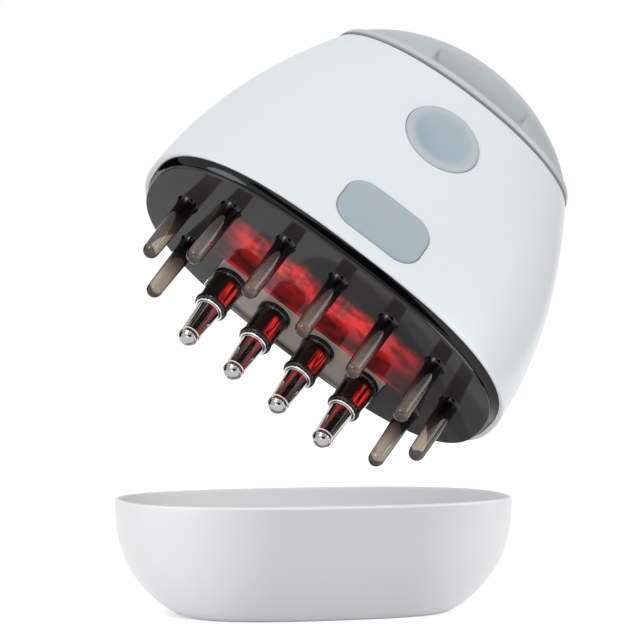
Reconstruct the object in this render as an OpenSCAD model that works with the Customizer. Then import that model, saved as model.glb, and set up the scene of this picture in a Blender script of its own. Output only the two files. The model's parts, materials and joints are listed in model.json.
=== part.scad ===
// Electric scalp massager with its dust cap taken off.
// The dust cap stands on its base at the origin, +Z up, its long axis along X.
// The handset hangs tilted above it. Every handset piece is drawn upright first, with the
// comb face at z = 0, the teeth pointing down and the buttons on the -Y side, and then placed by held().

/* [Handset placement] */
// Where the middle of the comb face lies above the dust cap
held_at = [-8.1, -21.7, 74.4]; // [-40:0.1:120]
// How the handset is turned about X, then Y, then Z
held_turn = [-36.6, 36.6, -18.6]; // [-60:0.2:60]

/* [Comb plate] */
// Half length of the flat comb face
plate_half_l = 48; // [46:0.5:52]
// Half width of the flat comb face
plate_half_w = 22.5; // [21.5:0.5:25]
// Thickness of the comb plate
plate_t = 2; // [1.6:0.1:2.4]
// Height of the stepped edge between the comb face and the shell
step_h = 3; // [2.6:0.1:3.6]
// How far the step flares out at the shell
step_out = 1.1; // [0.8:0.1:1.4]
// Length of a comb tooth, tip included
tooth_len = 18.4; // [14:0.2:20]
// Diameter of a tooth at its root
tooth_root_d = 4.7; // [4.2:0.1:5.2]
// Diameter of a tooth at its round tip
tooth_tip_d = 3.9; // [3.4:0.1:4.2]
// Distance between neighbours in the front row
tooth_pitch = 14.8; // [13.6:0.2:15.4]
// Distance from the front edge to the middle tooth
front_row_in = 8.9; // [8:0.1:10]
// How far the front row bends back at its ends
front_row_bow = 3; // [2:0.2:3.6]

/* [Roller pins] */
// Distance between neighbouring pins
pin_pitch = 13.1; // [12.6:0.1:13.2]
// Distance from the rear edge to the row of pins
pin_row_in = 8.7; // [8.3:0.1:9]
// Diameter of a pin where it slides in its collar
pin_d = 5.9; // [5.4:0.1:6.2]
// Diameter of a pin at its tip
pin_tip_d = 4.9; // [4.7:0.1:5.2]
// Diameter of the steel roller ball
ball_d = 4.5; // [4.2:0.05:4.6]
// Distance from the comb face to the middle of the ball
ball_drop = 18.9; // [17:0.1:20]
// How far a pin reaches past the middle of its ball, which keeps the ball in
ball_hold = 0.6; // [0.5:0.05:0.8]
// How far a pin can be pushed in
pin_travel = 2; // [1:0.1:2.4]
// Outer diameter of a collar
collar_d = 8.1; // [7.8:0.1:8.6]
// How far a collar stands out of the comb face
collar_len = 9; // [7:0.2:10]
// Half length of the nozzle bar
bar_half_l = 24.3; // [23.9:0.1:26]
// Distance from the rear edge to the front side of the nozzle bar
bar_in = 15.5; // [14.4:0.1:16]
// How deep the face of the nozzle bar is sunk below the comb face
bar_sunk = 0.8; // [0.5:0.1:1.2]

/* [Shell] */
// Height of the lid seam above the comb face
shell_h = 68; // [66:0.5:72]
// Wall thickness of the shell
wall = 1.8; // [1.4:0.1:2.2]
// How far the shell stands out past the step at the two ends
lip_l = 1.3; // [0.8:0.1:1.6]
// How far the shell stands out past the step at the front and the back
lip_w = 0.6; // [0.4:0.1:1]
// Half length of the shell at the lid seam
seam_half_l = 35; // [34:0.5:38]
// Half width of the shell at the lid seam
seam_half_w = 14.3; // [13.6:0.1:16]
// Bulge of the two ends, where 1 is straight
bulge_l = 2; // [1.7:0.1:2.3]
// Bulge of the front and the back, where 1 is straight
bulge_w = 1.1; // [1:0.05:1.4]
// Exponent of the comb plate's oval, where 2 is an ellipse
plate_round = 2.6; // [2.4:0.05:2.7]
// Exponent of the shell's oval at its foot
foot_round = 2.5; // [2.4:0.05:2.6]
// Exponent of the shell's oval at the lid
seam_round = 2.1; // [2:0.05:2.3]

/* [Lid] */
// Height of the lid above its seam
lid_h = 20; // [16:0.5:24]
// Wall thickness of the lid
lid_wall = 1.6; // [1.2:0.1:2]
// How far the lid's collar reaches into the shell
lid_skirt = 5; // [4:0.2:6]
// Height of the rim band round the foot of the lid
band_h = 2.4; // [1.8:0.2:3]
// Half length of the finger recess
recess_half_l = 13.3; // [11:0.2:16]
// Height of the finger recess above the seam
recess_up = 3; // [2.6:0.1:4]
// Depth of the finger recess below the rim band
recess_deep = 2.6; // [1.8:0.1:3]
// How far the lid lifts until it is free
lid_travel = 22; // [16:1:30]

/* [Buttons] */
// Diameter of the round power button
power_d = 19.6; // [18:0.2:21]
// Distance from the lid seam down to the power button's middle
power_down = 18.6; // [17:0.2:21]
// Diameter of the dish in the power button
dish_d = 15.6; // [14:0.2:16.6]
// Travel of the power button
power_travel = 0.6; // [0.3:0.1:0.8]
// Length of the dose button
dose_l = 23.2; // [21:0.2:25]
// Height of the dose button
dose_w = 15.4; // [14:0.2:16]
// Corner radius of the dose button
dose_r = 5.6; // [4:0.2:6.4]
// Height of the dose button's middle above the comb face
dose_z = 15; // [14.6:0.2:17]
// Travel of the dose button
dose_travel = 2; // [1:0.1:2.4]
// How far both buttons stand out of the shell
proud = 0.5; // [0.3:0.1:0.8]

/* [Dust cap] */
// Height of the dust cap
cap_h = 28; // [27:0.5:34]
// Wall thickness of the dust cap
cap_wall = 1; // [0.8:0.1:1.6]
// Half length of the dust cap's flat base
cap_base_half_l = 32.8; // [30:0.2:36]
// Half width of the dust cap's flat base
cap_base_half_w = 16.5; // [15:0.1:18]

/* [Inside] */
// Height of the tank shelf above the comb face
shelf_z = 43; // [41:0.5:44.5]
// Thickness of the chassis walls
frame_t = 1.5; // [1.2:0.1:2]
// Diameter of the battery cell
cell_d = 14; // [12:0.5:14.5]
// Length of the battery cell
cell_l = 42; // [36:1:44]
// Thickness of the circuit boards
board_t = 1.2; // [0.8:0.1:1.6]
// Half length of the main board
board_half_l = 20; // [18:0.5:21]
// Diameter of the vibration motor
motor_d = 10; // [8:0.5:10.5]
// Length of the vibration motor
motor_l = 14; // [12:0.5:16]
// Distance from the end of the comb face to the motor
motor_in = 9.5; // [9:0.1:10]
// Distance from the front edge of the comb face to the chassis wall
wall_in = 17.5; // [17:0.1:18]
// Number of light diodes behind the comb face
led_count = 5; // [3:1:6]
// Outer diameter of the feed hoses
hose_d = 3; // [2.4:0.2:3.2]

/* [Fits] */
// Gap between a sliding piece and its bore, on each side
slide_gap = 0.07; // [0.03:0.01:0.1]
// Gap round a button, on each side
key_gap = 0.15; // [0.1:0.05:0.25]
// Gap between a ball and its socket
ball_gap = 0.05; // [0.03:0.01:0.08]
// Gap between moulded pieces that are pushed together
fit_gap = 0.15; // [0.1:0.05:0.25]
// Gap at the seam under the lid
seam_gap = 0.3; // [0.2:0.05:0.5]

/* [Hidden] */

SIDES = 64;
FINE = 48;
eps = 0.01;
pin_count = 4;
pins = [for (i = [0 : pin_count - 1]) (i - (pin_count - 1) / 2) * pin_pitch];

// Ovals and the form of the handset ------------------------------------------------------

function clamp01(t) = min(1, max(0, t));

// The points of an oval of half lengths a and b, from an exponent of 2 for an ellipse upwards
function oval(a, b, n) = [for (i = [0 : SIDES - 1])
  let (t = 360 * i / SIDES, c = cos(t), s = sin(t))
  [a * sign(c) * pow(abs(c), 2 / n), b * sign(s) * pow(abs(s), 2 / n)]];

function lifted(points, z) = [for (p = points) [p[0], p[1], z]];

rim_half_l = plate_half_l + step_out;
rim_half_w = plate_half_w + step_out;
foot_half_l = rim_half_l + lip_l;
foot_half_w = rim_half_w + lip_w;
power_z = shell_h - power_down;
motor_x = plate_half_l - motor_in;

function rise(z) = clamp01((z - step_h) / (shell_h - step_h));
function half_l(z) = seam_half_l + (foot_half_l - seam_half_l) * (1 - pow(rise(z), bulge_l));
function half_w(z) = seam_half_w + (foot_half_w - seam_half_w) * (1 - pow(rise(z), bulge_w));
function roundness(z) = foot_round + (seam_round - foot_round) * rise(z);

// Outline of the shell at a height, drawn in by an inset
function shell_oval(z, inset = 0) = oval(half_l(z) - inset, half_w(z) - inset, roundness(z));

// Outline of the stepped comb plate at a height
function step_flare(z) = step_out * pow(clamp01((z - step_h / 3) / (step_h * 2 / 3)), 1.4);
function plate_oval(z, inset = 0) =
  oval(plate_half_l + step_flare(z) - inset, plate_half_w + step_flare(z) - inset, plate_round);

// Outline of the lid at a share of its height
function lid_oval(t, inset = 0) = oval(
  (seam_half_l - inset) * sqrt(1 - pow(t, 1.3)), (seam_half_w - inset) * sqrt(1 - t * t), seam_round);

// Outline of the dust cap at a share of its depth below the rim
cap_half_l = plate_half_l + fit_gap + cap_wall;
cap_half_w = plate_half_w + fit_gap + cap_wall;
function cap_draw_in(t) = 1 - pow(1 - pow(t, 2.6), 0.8);
function cap_oval(t, inset = 0) = oval(
  cap_half_l - inset - (cap_half_l - cap_base_half_l) * cap_draw_in(t),
  cap_half_w - inset - (cap_half_w - cap_base_half_w) * cap_draw_in(t), plate_round);

// A closed solid through a list of rings, which all have as many points
module loft(rings) {
  n = len(rings[0]);
  last = len(rings) - 1;
  polyhedron(
    points = [for (r = rings) each r],
    faces = concat(
      [[for (i = [0 : n - 1]) i]],
      [for (k = [0 : last - 1], i = [0 : n - 1])
        each [[k * n + i, (k + 1) * n + i, (k + 1) * n + (i + 1) % n],
              [k * n + i, (k + 1) * n + (i + 1) % n, k * n + (i + 1) % n]]],
      [[for (i = [n - 1 : -1 : 0]) last * n + i]]));
}

// A straight slab with an oval outline
module slab(points, z0, z1) {
  translate([0, 0, z0]) linear_extrude(z1 - z0) polygon(points);
}

// A flat rectangle with true round corners
module rounded(l, w, r, fn = FINE) {
  square([l - 2 * r, w], center = true);
  square([l, w - 2 * r], center = true);
  for (x = [-1, 1], y = [-1, 1]) translate([x * (l / 2 - r), y * (w / 2 - r)]) circle(r, $fn = fn);
}

// A round tube swept along points, drawn with flat sides
function unit(v) = v / norm(v);
function route_way(p, i) = unit(p[min(i + 1, len(p) - 1)] - p[max(i - 1, 0)]);
function spline(p, steps) = concat(
  [for (i = [0 : len(p) - 2], k = [0 : steps - 1])
    let (t = k / steps, a = p[max(i - 1, 0)], b = p[i], c = p[i + 1], d = p[min(i + 2, len(p) - 1)])
    0.5 * (2 * b + (c - a) * t + (2 * a - 5 * b + 4 * c - d) * t * t
      + (3 * b - a - 3 * c + d) * t * t * t)],
  [p[len(p) - 1]]);
module tube(p, r, sides = 8) {
  loft([for (i = [0 : len(p) - 1])
    let (w = route_way(p, i), u = unit(cross(w, abs(w[2]) > 0.8 ? [1, 0, 0] : [0, 0, 1])), v = cross(w, u))
    [for (k = [0 : sides - 1]) let (t = -360 * k / sides) p[i] + r * (u * cos(t) + v * sin(t))]]);
}

// A coil spring along +Z
module coil(r, wire_r, length, turns) {
  steps = 8;
  rise_per = (length - 2 * wire_r) / (turns * steps);
  loft([for (i = [0 : turns * steps])
    let (a = 360 * i / steps, z = wire_r + i * rise_per)
    [for (k = [0 : 5]) let (t = 60 * k, q = r + wire_r * cos(t))
      [q * cos(a), q * sin(a), z + wire_r * sin(t)]]]);
}

// Puts children on the front of the shell at a height, with +Z along the outward normal
function front_lean(z) = atan2(half_w(z - 1) - half_w(z + 1), 2);
module on_front(z) {
  translate([0, -half_w(z), z]) rotate([90 - front_lean(z), 0, 0]) children();
}

module held() {
  translate(held_at) rotate(held_turn) children();
}

// Dust cap ---------------------------------------------------------------------------------

module dust_cap() color([0.86, 0.86, 0.88]) {
  steps = 12;
  edge = cap_wall / 3;
  difference() {
    loft(concat(
      [for (i = [0 : steps - 1]) let (t = 1 - i / steps) lifted(cap_oval(t), cap_h * (1 - t))],
      [lifted(cap_oval(0), cap_h - edge), lifted(cap_oval(0, edge), cap_h)]));
    loft(concat(
      [for (i = [0 : steps - 3]) let (t = 1 - i / steps)
        lifted(cap_oval(t, cap_wall), cap_wall + (cap_h - cap_wall) * (1 - t))],
      [lifted(cap_oval(0, cap_wall), cap_h + 1)]));
  }
}

// Shell ------------------------------------------------------------------------------------

boss_x = seam_half_l + 1.4;
boss_d = 6;
screw_d = 2;
screw_len = 8;
ledge_z = 18;
ledge_half_l = 9;

module shell_outside() {
  steps = 12;
  edge = 0.5;
  loft(concat(
    [lifted(shell_oval(step_h, edge), step_h)],
    [for (i = [0 : steps]) let (z = step_h + edge + (shell_h - step_h - edge) * i / steps)
      lifted(shell_oval(z), z)]));
}

module shell_inside() {
  steps = 8;
  loft(concat(
    [lifted(shell_oval(step_h, wall), step_h - 1)],
    [for (i = [0 : steps]) let (z = step_h + (shell_h - step_h) * i / steps)
      lifted(shell_oval(z, wall), z)],
    [lifted(shell_oval(shell_h, wall), shell_h + 1)]));
}

module outer_shell() color([0.93, 0.94, 0.95]) {
  difference() {
    shell_outside();
    difference() {
      shell_inside();
      for (x = [-boss_x, boss_x])
        translate([x, 0, shelf_z + frame_t + fit_gap]) cylinder(d = boss_d, h = shell_h, $fn = FINE);
      translate([-ledge_half_l - 2, socket_back - 6, ledge_z]) cube([2 * ledge_half_l + 4, 30, 2]);
    }
    // above the bosses only the wall stays
    slab(shell_oval(shell_h, wall + eps), shell_h - lid_skirt - 1, shell_h + 2);
    for (x = [-boss_x, boss_x])
      translate([x, 0, shelf_z]) cylinder(d = screw_d + 2 * slide_gap, h = screw_len + 2, $fn = FINE);
    on_front(power_z) translate([0, 0, -wall - 4]) cylinder(d = power_d + 2 * key_gap, h = 12, $fn = FINE);
    on_front(dose_z) translate([0, 0, -wall - 4])
      linear_extrude(12) rounded(dose_l + 2 * key_gap, dose_w + 2 * key_gap, dose_r + key_gap);
    translate([0, socket_back, socket_z]) rotate([-90, 0, 0])
      linear_extrude(20) rounded(socket_l + 2 * fit_gap, socket_w + 2 * fit_gap, socket_w / 2);
  }
}

// Comb plate and nozzle bar ------------------------------------------------------------------

skirt_h = 4;
skirt_t = 1.4;
pin_y = plate_half_w - pin_row_in;
bar_front = plate_half_w - bar_in;

// Root places of the nine teeth: the front row, then the two at each end
front_teeth = [for (i = [-2 : 2])
  [i * tooth_pitch, -(plate_half_w - front_row_in) + front_row_bow * i * i / 4]];
end_teeth = [for (s = [-1, 1]) each [
  [s * (plate_half_l - 9.6), -1.7],
  [s * (plate_half_l - 15.5), plate_half_w - 12.1]]];

module tooth() {
  root_r = tooth_root_d / 2;
  tip_r = tooth_tip_d / 2;
  fillet = 0.6;
  tip_steps = 6;
  rotate_extrude($fn = FINE) polygon(concat(
    [[0, plate_t / 2], [root_r + fillet, plate_t / 2], [root_r + fillet, 0]],
    [for (i = [1 : 3]) let (t = 30 * i) [root_r + fillet * (1 - sin(t)), -fillet * (1 - cos(t))]],
    [for (i = [0 : tip_steps - 1]) let (t = 90 * i / tip_steps)
      [tip_r * cos(t), -tooth_len + tip_r - tip_r * sin(t)]],
    [[0, -tooth_len]]));
}

module plate_block(top) {
  edge = 0.25;
  steps = 4;
  loft(concat(
    [lifted(plate_oval(0, edge), 0), lifted(plate_oval(0), edge)],
    [for (i = [0 : steps]) let (z = step_h * (1 / 3 + i / steps * 2 / 3)) lifted(plate_oval(z), z)],
    top > step_h ? [lifted(plate_oval(step_h), top)] : []));
}

module skirt_ring() {
  outer = fit_gap + wall;
  z1 = step_h + skirt_h;
  difference() {
    slab(shell_oval(z1, outer), step_h - eps, z1);
    slab(shell_oval(z1, outer + skirt_t), 0, z1 + 1);
  }
}

post_x = motor_x - 9.5;
post_d = 3.6;
light_z = 6;
light_front = 13.9 - plate_half_w;
light_back = bar_front - 1.6;
light_y = (light_front + light_back) / 2;
light_w = light_back - light_front;

module comb_plate() color([0.22, 0.2, 0.2]) {
  difference() {
    union() {
      difference() {
        plate_block(step_h);
        slab(plate_oval(0, skirt_t + 0.6), plate_t, step_h + 1);
      }
      skirt_ring();
      for (x = [-post_x, post_x])
        translate([x, light_y, plate_t - eps]) cylinder(d = post_d, h = light_z - plate_t + eps, $fn = FINE);
    }
    translate([-bar_half_l, bar_front, -1]) cube([2 * bar_half_l, 40, step_h + skirt_h + 2]);
    // room for the flange of the dose button on its way in
    on_front(dose_z) translate([0, 0, -flange_depth - flange_t - dose_travel - 0.4])
      linear_extrude(flange_t + dose_travel + 0.8) rounded(dose_l + 3.4, dose_w + 2.6, dose_r + 1.3);
  }
  for (p = concat(front_teeth, end_teeth)) translate([p[0], p[1], 0]) tooth();
}

shelf_top = 3.9;
chamber_top = 11;
chamber_d = pin_d + 1.8;
block_front = pin_y - chamber_d / 2 - 1.6;
block_back = pin_y + chamber_d / 2 + 0.9;
block_half_l = bar_half_l - fit_gap;

module bar_block(z0, z1) {
  translate([-block_half_l, block_front, z0]) cube([2 * block_half_l, block_back - block_front, z1 - z0]);
}

module nozzle_bar() color([0.5, 0.47, 0.44]) {
  edge_lip = 1.1;
  difference() {
    union() {
      intersection() {
        plate_block(step_h);
        translate([-block_half_l, bar_front + fit_gap, -1]) cube([2 * block_half_l, 40, 10]);
      }
      bar_block(plate_t, chamber_top);
    }
    intersection() {
      slab(plate_oval(0, edge_lip), -1, bar_sunk);
      translate([-bar_half_l - 1, bar_front - 1, -1]) cube([2 * bar_half_l + 2, 40, 10]);
    }
    for (x = pins) translate([x, pin_y, 0]) {
      translate([0, 0, -1]) cylinder(d = pin_d + 2 * slide_gap, h = 20, $fn = FINE);
      translate([0, 0, shelf_top]) cylinder(d = chamber_d, h = 20, $fn = FINE);
    }
  }
}

module pin_collars() color([0.12, 0.1, 0.1]) {
  r = collar_d / 2;
  for (x = pins) translate([x, pin_y, 0]) difference() {
    rotate_extrude($fn = FINE) polygon([
      [0, bar_sunk], [r + 0.35, bar_sunk], [r + 0.35, -0.2], [r + 0.05, -0.5], [r, -0.7],
      [r - 0.1, 1.6 - collar_len], [r + 0.15, 0.7 - collar_len], [r + 0.1, 0.3 - collar_len],
      [r - 0.2, -collar_len], [0, -collar_len]]);
    translate([0, 0, -collar_len - 1]) cylinder(d = pin_d + 2 * slide_gap, h = 20, $fn = FINE);
  }
}

module collar_rings() color([0.9, 0.9, 0.92]) {
  ring_h = 0.5;
  for (x = pins) translate([x, pin_y, -collar_len - ring_h]) difference() {
    cylinder(d = pin_d + 1.1, h = ring_h, $fn = FINE);
    translate([0, 0, -1]) cylinder(d = pin_d + 2 * slide_gap, h = 3, $fn = FINE);
  }
}

head_d = chamber_d - 0.3;
head_h = 1.2;
head_z = shelf_top + 0.05;

module metal_pin(i) color([0.85, 0.85, 0.87]) {
  r = pin_d / 2;
  tip = pin_tip_d / 2;
  end = ball_drop + ball_hold;
  translate([pins[i], pin_y, 0]) difference() {
    rotate_extrude($fn = FINE) polygon([
      [0, head_z + head_h], [head_d / 2, head_z + head_h], [head_d / 2, head_z], [r, head_z],
      [r, -collar_len - 0.7], [tip + 0.05, 2.2 - end], [tip + 0.05, 1.5 - end], [tip - 0.2, 1.3 - end],
      [tip - 0.2, 1.1 - end], [tip, 0.9 - end], [tip, 0.4 - end], [tip - 0.1, -end], [0, -end]]);
    translate([0, 0, -ball_drop]) sphere(d = ball_d + 2 * ball_gap, $fn = FINE);
    translate([0, 0, -ball_drop]) cylinder(d = 1.6, h = 40, $fn = FINE);
  }
}

module roller_ball(i) color([0.92, 0.92, 0.93]) {
  translate([pins[i], pin_y, -ball_drop]) sphere(d = ball_d, $fn = FINE);
}

module pin_springs() color([0.75, 0.75, 0.78]) {
  z0 = head_z + head_h + 0.1;
  for (x = pins) translate([x, pin_y, z0]) coil(2.7, 0.3, chamber_top - 0.1 - z0, 4);
}

spigot_d = hose_d - 1;
manifold_h = 4;

module nozzle_manifold() color([0.9, 0.9, 0.88]) {
  mid = chamber_top + manifold_h / 2;
  difference() {
    union() {
      bar_block(chamber_top, chamber_top + manifold_h);
      translate([-block_half_l - 4, pin_y, mid]) rotate([0, 90, 0]) cylinder(d = spigot_d, h = 5, $fn = FINE);
    }
    translate([-block_half_l + 1.5, pin_y - 2, mid - 0.6]) cube([2 * block_half_l - 3, 4, 1.4]);
    for (x = pins) translate([x, pin_y, chamber_top - 1]) cylinder(d = 1.6, h = manifold_h / 2 + 1, $fn = FINE);
    translate([-block_half_l - 5, pin_y, mid]) rotate([0, 90, 0]) cylinder(d = 1, h = 8, $fn = FINE);
  }
}

// Light behind the comb face -----------------------------------------------------------------

light_half_l = post_x + post_d / 2 + 0.4;
led_pitch = 2 * (post_x - 5) / led_count;

module light_diffuser() color([0.95, 0.75, 0.75]) {
  translate([0, light_y, plate_t + fit_gap]) linear_extrude(0.8)
    rounded(2 * (post_x - post_d / 2 - 0.4), light_w - 2, 2);
}

module light_board() color([0.1, 0.35, 0.2]) {
  translate([0, light_y, light_z]) linear_extrude(board_t) rounded(2 * light_half_l, light_w, 2);
}

module light_diodes() color([0.9, 0.1, 0.1]) {
  base_h = 0.9;
  for (i = [0 : led_count - 1])
    translate([(i - (led_count - 1) / 2) * led_pitch, light_y, light_z]) {
      translate([-1.75, -1.75, -base_h]) cube([3.5, 3.5, base_h]);
      translate([0, 0, -base_h - 0.9]) cylinder(d1 = 1.6, d2 = 2.6, h = 0.9, $fn = FINE);
    }
}

// Lid ----------------------------------------------------------------------------------------

plug_y = 4;
neck_d = 12;
neck_bore = 9.6;
tank_top = shell_h - 8;
neck_top = tank_top + 5;

module lid_solid(inset, z0, stop, steps) {
  loft(concat(
    [lifted(lid_oval(0, inset), z0)],
    [for (i = [1 : steps]) let (t = stop * sin(90 * i / steps)) lifted(lid_oval(t, inset), shell_h + (lid_h - inset) * t)]));
}

band_out = 0.3;

// The block that the finger recess takes out of the lid, grown by the wall behind it
module recess_block(grow) {
  deep = recess_deep + band_out;
  tall = lid_h;
  translate([-recess_half_l - grow, -seam_half_w - 1, shell_h + recess_up - grow])
    cube([2 * (recess_half_l + grow), deep + 1 + grow, tall]);
}

module lid() color([0.69, 0.72, 0.72]) {
  z0 = shell_h + seam_gap;
  difference() {
    union() {
      lid_solid(band_out, z0, 0.997, 10);
      loft([lifted(lid_oval(0, 0.6), z0), lifted(lid_oval(0), z0 + 0.6),
        lifted(lid_oval(0.06), z0 + band_h - 0.4), lifted(lid_oval(0.08, 0.3), z0 + band_h)]);
    }
    difference() {
      lid_solid(lid_wall + band_out, shell_h - 1, 0.99, 7);
      recess_block(lid_wall * 0.8);
    }
    recess_block(0);
  }
  difference() {
    slab(shell_oval(shell_h, wall + fit_gap), shell_h - lid_skirt, z0 + 1);
    slab(shell_oval(shell_h, wall + fit_gap + 1.4), shell_h - lid_skirt - 1, z0 + 2);
    difference() {
      slab(shell_oval(shell_h, wall), shell_h - lid_skirt + 1.2, shell_h - lid_skirt + 2.4);
      slab(shell_oval(shell_h, wall + fit_gap + 0.8), 0, shell_h);
    }
  }
  translate([0, plug_y, neck_top + 1.5]) cylinder(d = 6, h = shell_h + lid_h * 0.88 - neck_top - 1.5, $fn = FINE);
}

module lid_seal() color([0.35, 0.36, 0.38]) {
  z0 = shell_h - lid_skirt + 1.2;
  difference() {
    slab(shell_oval(shell_h, wall + fit_gap / 3), z0 + 0.1, z0 + 1.1);
    slab(shell_oval(shell_h, wall + fit_gap + 0.75), 0, shell_h);
  }
}

module filler_plug() color([0.35, 0.36, 0.38]) {
  translate([0, plug_y, 0]) {
    translate([0, 0, neck_top - 3]) cylinder(d = neck_bore - 2 * fit_gap, h = 3.2, $fn = FINE);
    translate([0, 0, neck_top + 0.1]) cylinder(d = neck_d, h = 1.4, $fn = FINE);
  }
}

// Tank and chassis ---------------------------------------------------------------------------

wall_y = wall_in - plate_half_w;
frame_foot = 9;
tank_floor = shelf_z + frame_t;
outlet = [26, 3];

module tank_form(inset, z0, z1) {
  intersection() {
    slab(shell_oval(tank_top, wall + 0.4 + inset), z0, z1);
    translate([-boss_x + boss_d / 2 + 0.4 + inset, wall_y + 0.3 + inset, z0])
      cube([2 * (boss_x - boss_d / 2 - 0.4 - inset), 60, z1 - z0]);
  }
}

module liquid_tank() color([0.8, 0.85, 0.88]) {
  skin = 1.2;
  difference() {
    union() {
      tank_form(0, tank_floor + 0.1, tank_top);
      translate([0, plug_y, tank_top - eps]) cylinder(d = neck_d, h = neck_top - tank_top, $fn = FINE);
      translate([outlet[0], outlet[1], shelf_z - 4]) cylinder(d = spigot_d, h = 6, $fn = FINE);
    }
    tank_form(skin, tank_floor + 0.1 + skin, tank_top - skin);
    translate([0, plug_y, tank_top - 2]) cylinder(d = neck_bore, h = 20, $fn = FINE);
    translate([outlet[0], outlet[1], shelf_z - 5]) cylinder(d = 1, h = 8, $fn = FINE);
  }
}

board_gap = 1;
board_z0 = 28;
board_z1 = shell_h - 10;
cell_y = wall_y + cell_d / 2 + 0.4;
cell_z = shelf_z - cell_d / 2 - 2;
frame_half_l = board_half_l + 1;
standoffs = [for (x = [-1, 1], z = [board_z0 + 3, board_z1 - 3]) [x * (board_half_l - 3), z]];
cup_d = 14;
cup_front = 6.5;
cup_back = 15;
cup_wall = 1.5;

module chassis() color([0.75, 0.76, 0.78]) {
  difference() {
    union() {
      translate([-frame_half_l, wall_y - frame_t, frame_foot])
        cube([2 * frame_half_l, frame_t, board_z1 - frame_foot]);
      intersection() {
        slab(shell_oval(shelf_z + frame_t, wall + fit_gap), shelf_z, shelf_z + frame_t);
        translate([-100, wall_y - frame_t, 0]) cube([200, 100, 100]);
      }
      for (p = standoffs) translate([p[0], wall_y - frame_t - board_gap, p[1]])
        rotate([-90, 0, 0]) cylinder(d = 4, h = board_gap + 0.5, $fn = FINE);
      for (x = [-1, 1]) translate([x * (cell_l / 2 - 6), 0, 0]) cradle();
      intersection() {
        on_front(dose_z) translate([0, 0, -cup_back - 10]) cylinder(d = cup_d + 2, h = 10, $fn = FINE);
        translate([-cup_d, wall_y - 20, frame_foot]) cube([2 * cup_d, 20, 40]);
      }
    }
    for (x = [-boss_x, boss_x])
      translate([x, 0, shelf_z - 1]) cylinder(d = screw_d + 0.4, h = 9, $fn = FINE);
    for (p = standoffs) translate([p[0], wall_y - 20, p[1]])
      rotate([-90, 0, 0]) cylinder(d = 1.6, h = 30, $fn = FINE);
    translate([outlet[0], outlet[1], shelf_z - 1]) cylinder(d = hose_d + 0.6, h = 9, $fn = FINE);
  }
}

// A saddle that holds the cell behind the chassis wall
module cradle() {
  wide = 3;
  difference() {
    translate([-wide / 2, wall_y - 0.5, cell_z - cell_d / 2 - 1.6])
      cube([wide, cell_d * 0.75, cell_d + 3.4]);
    translate([-wide, cell_y, cell_z]) rotate([0, 90, 0])
      cylinder(d = cell_d + 2 * fit_gap, h = 2 * wide, $fn = FINE);
  }
}

module chassis_screws() color([0.6, 0.6, 0.62]) {
  for (x = [-boss_x, boss_x]) translate([x, 0, shelf_z]) {
    translate([0, 0, -1.5]) cylinder(d = 3.8, h = 1.45, $fn = FINE);
    translate([0, 0, -0.1]) cylinder(d = screw_d, h = screw_len, $fn = FINE);
  }
}

// Boards and electronics ---------------------------------------------------------------------

board_y = wall_y - frame_t - board_gap;

module main_board() color([0.1, 0.35, 0.2]) {
  difference() {
    translate([0, board_y, (board_z0 + board_z1) / 2]) rotate([90, 0, 0])
      linear_extrude(board_t) rounded(2 * board_half_l, board_z1 - board_z0, 2);
    for (p = standoffs) translate([p[0], board_y - 5, p[1]])
      rotate([-90, 0, 0]) cylinder(d = 2, h = 10, $fn = FINE);
  }
}

board_face = board_y - board_t;

module board_parts() color([0.15, 0.15, 0.16]) {
  // controller, charger chip, coil and capacitor, as [x, z, length, height, depth]
  for (c = [[-9, 36, 7, 7, 1.2], [5.6, 34.5, 4, 5, 1.4], [12, 36, 5, 5, 2.6], [-1.5, 34, 2, 3.2, 1.2]])
    translate([c[0] - c[2] / 2, board_face - c[4], c[1] - c[3] / 2]) cube([c[2], c[4], c[3]]);
}

module board_screws() color([0.7, 0.7, 0.72]) {
  for (p = standoffs) translate([p[0], board_face, p[1]]) rotate([-90, 0, 0]) {
    translate([0, 0, -1]) cylinder(d = 3.2, h = 0.98, $fn = FINE);
    translate([0, 0, -0.1]) cylinder(d = 1.5, h = board_t + board_gap + 1.2, $fn = FINE);
  }
}

switch_side = 6;
switch_h = 2.4;
plunger_d = 2.8;
plunger_out = 0.9;
power_reach = (half_w(power_z) + board_face - switch_h - plunger_out) / cos(front_lean(power_z));
switch_z = power_z - power_reach * sin(front_lean(power_z));

module at_switch() {
  translate([0, board_face, switch_z]) rotate([90, 0, 0]) children();
}

module tact_switch() color([0.25, 0.25, 0.27]) {
  at_switch() difference() {
    translate([-switch_side / 2, -switch_side / 2, 0]) cube([switch_side, switch_side, switch_h]);
    translate([0, 0, 0.4]) cylinder(d = plunger_d + 4 * fit_gap, h = switch_h, $fn = FINE);
  }
}

module switch_plunger() color([0.75, 0.75, 0.76]) {
  foot = 0.4 + power_travel + 0.2;
  at_switch() translate([0, 0, foot]) cylinder(d = plunger_d, h = switch_h + plunger_out - foot, $fn = FINE);
}

// Buttons and pump ---------------------------------------------------------------------------

flange_depth = wall + 0.9;
flange_t = 1;

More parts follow.
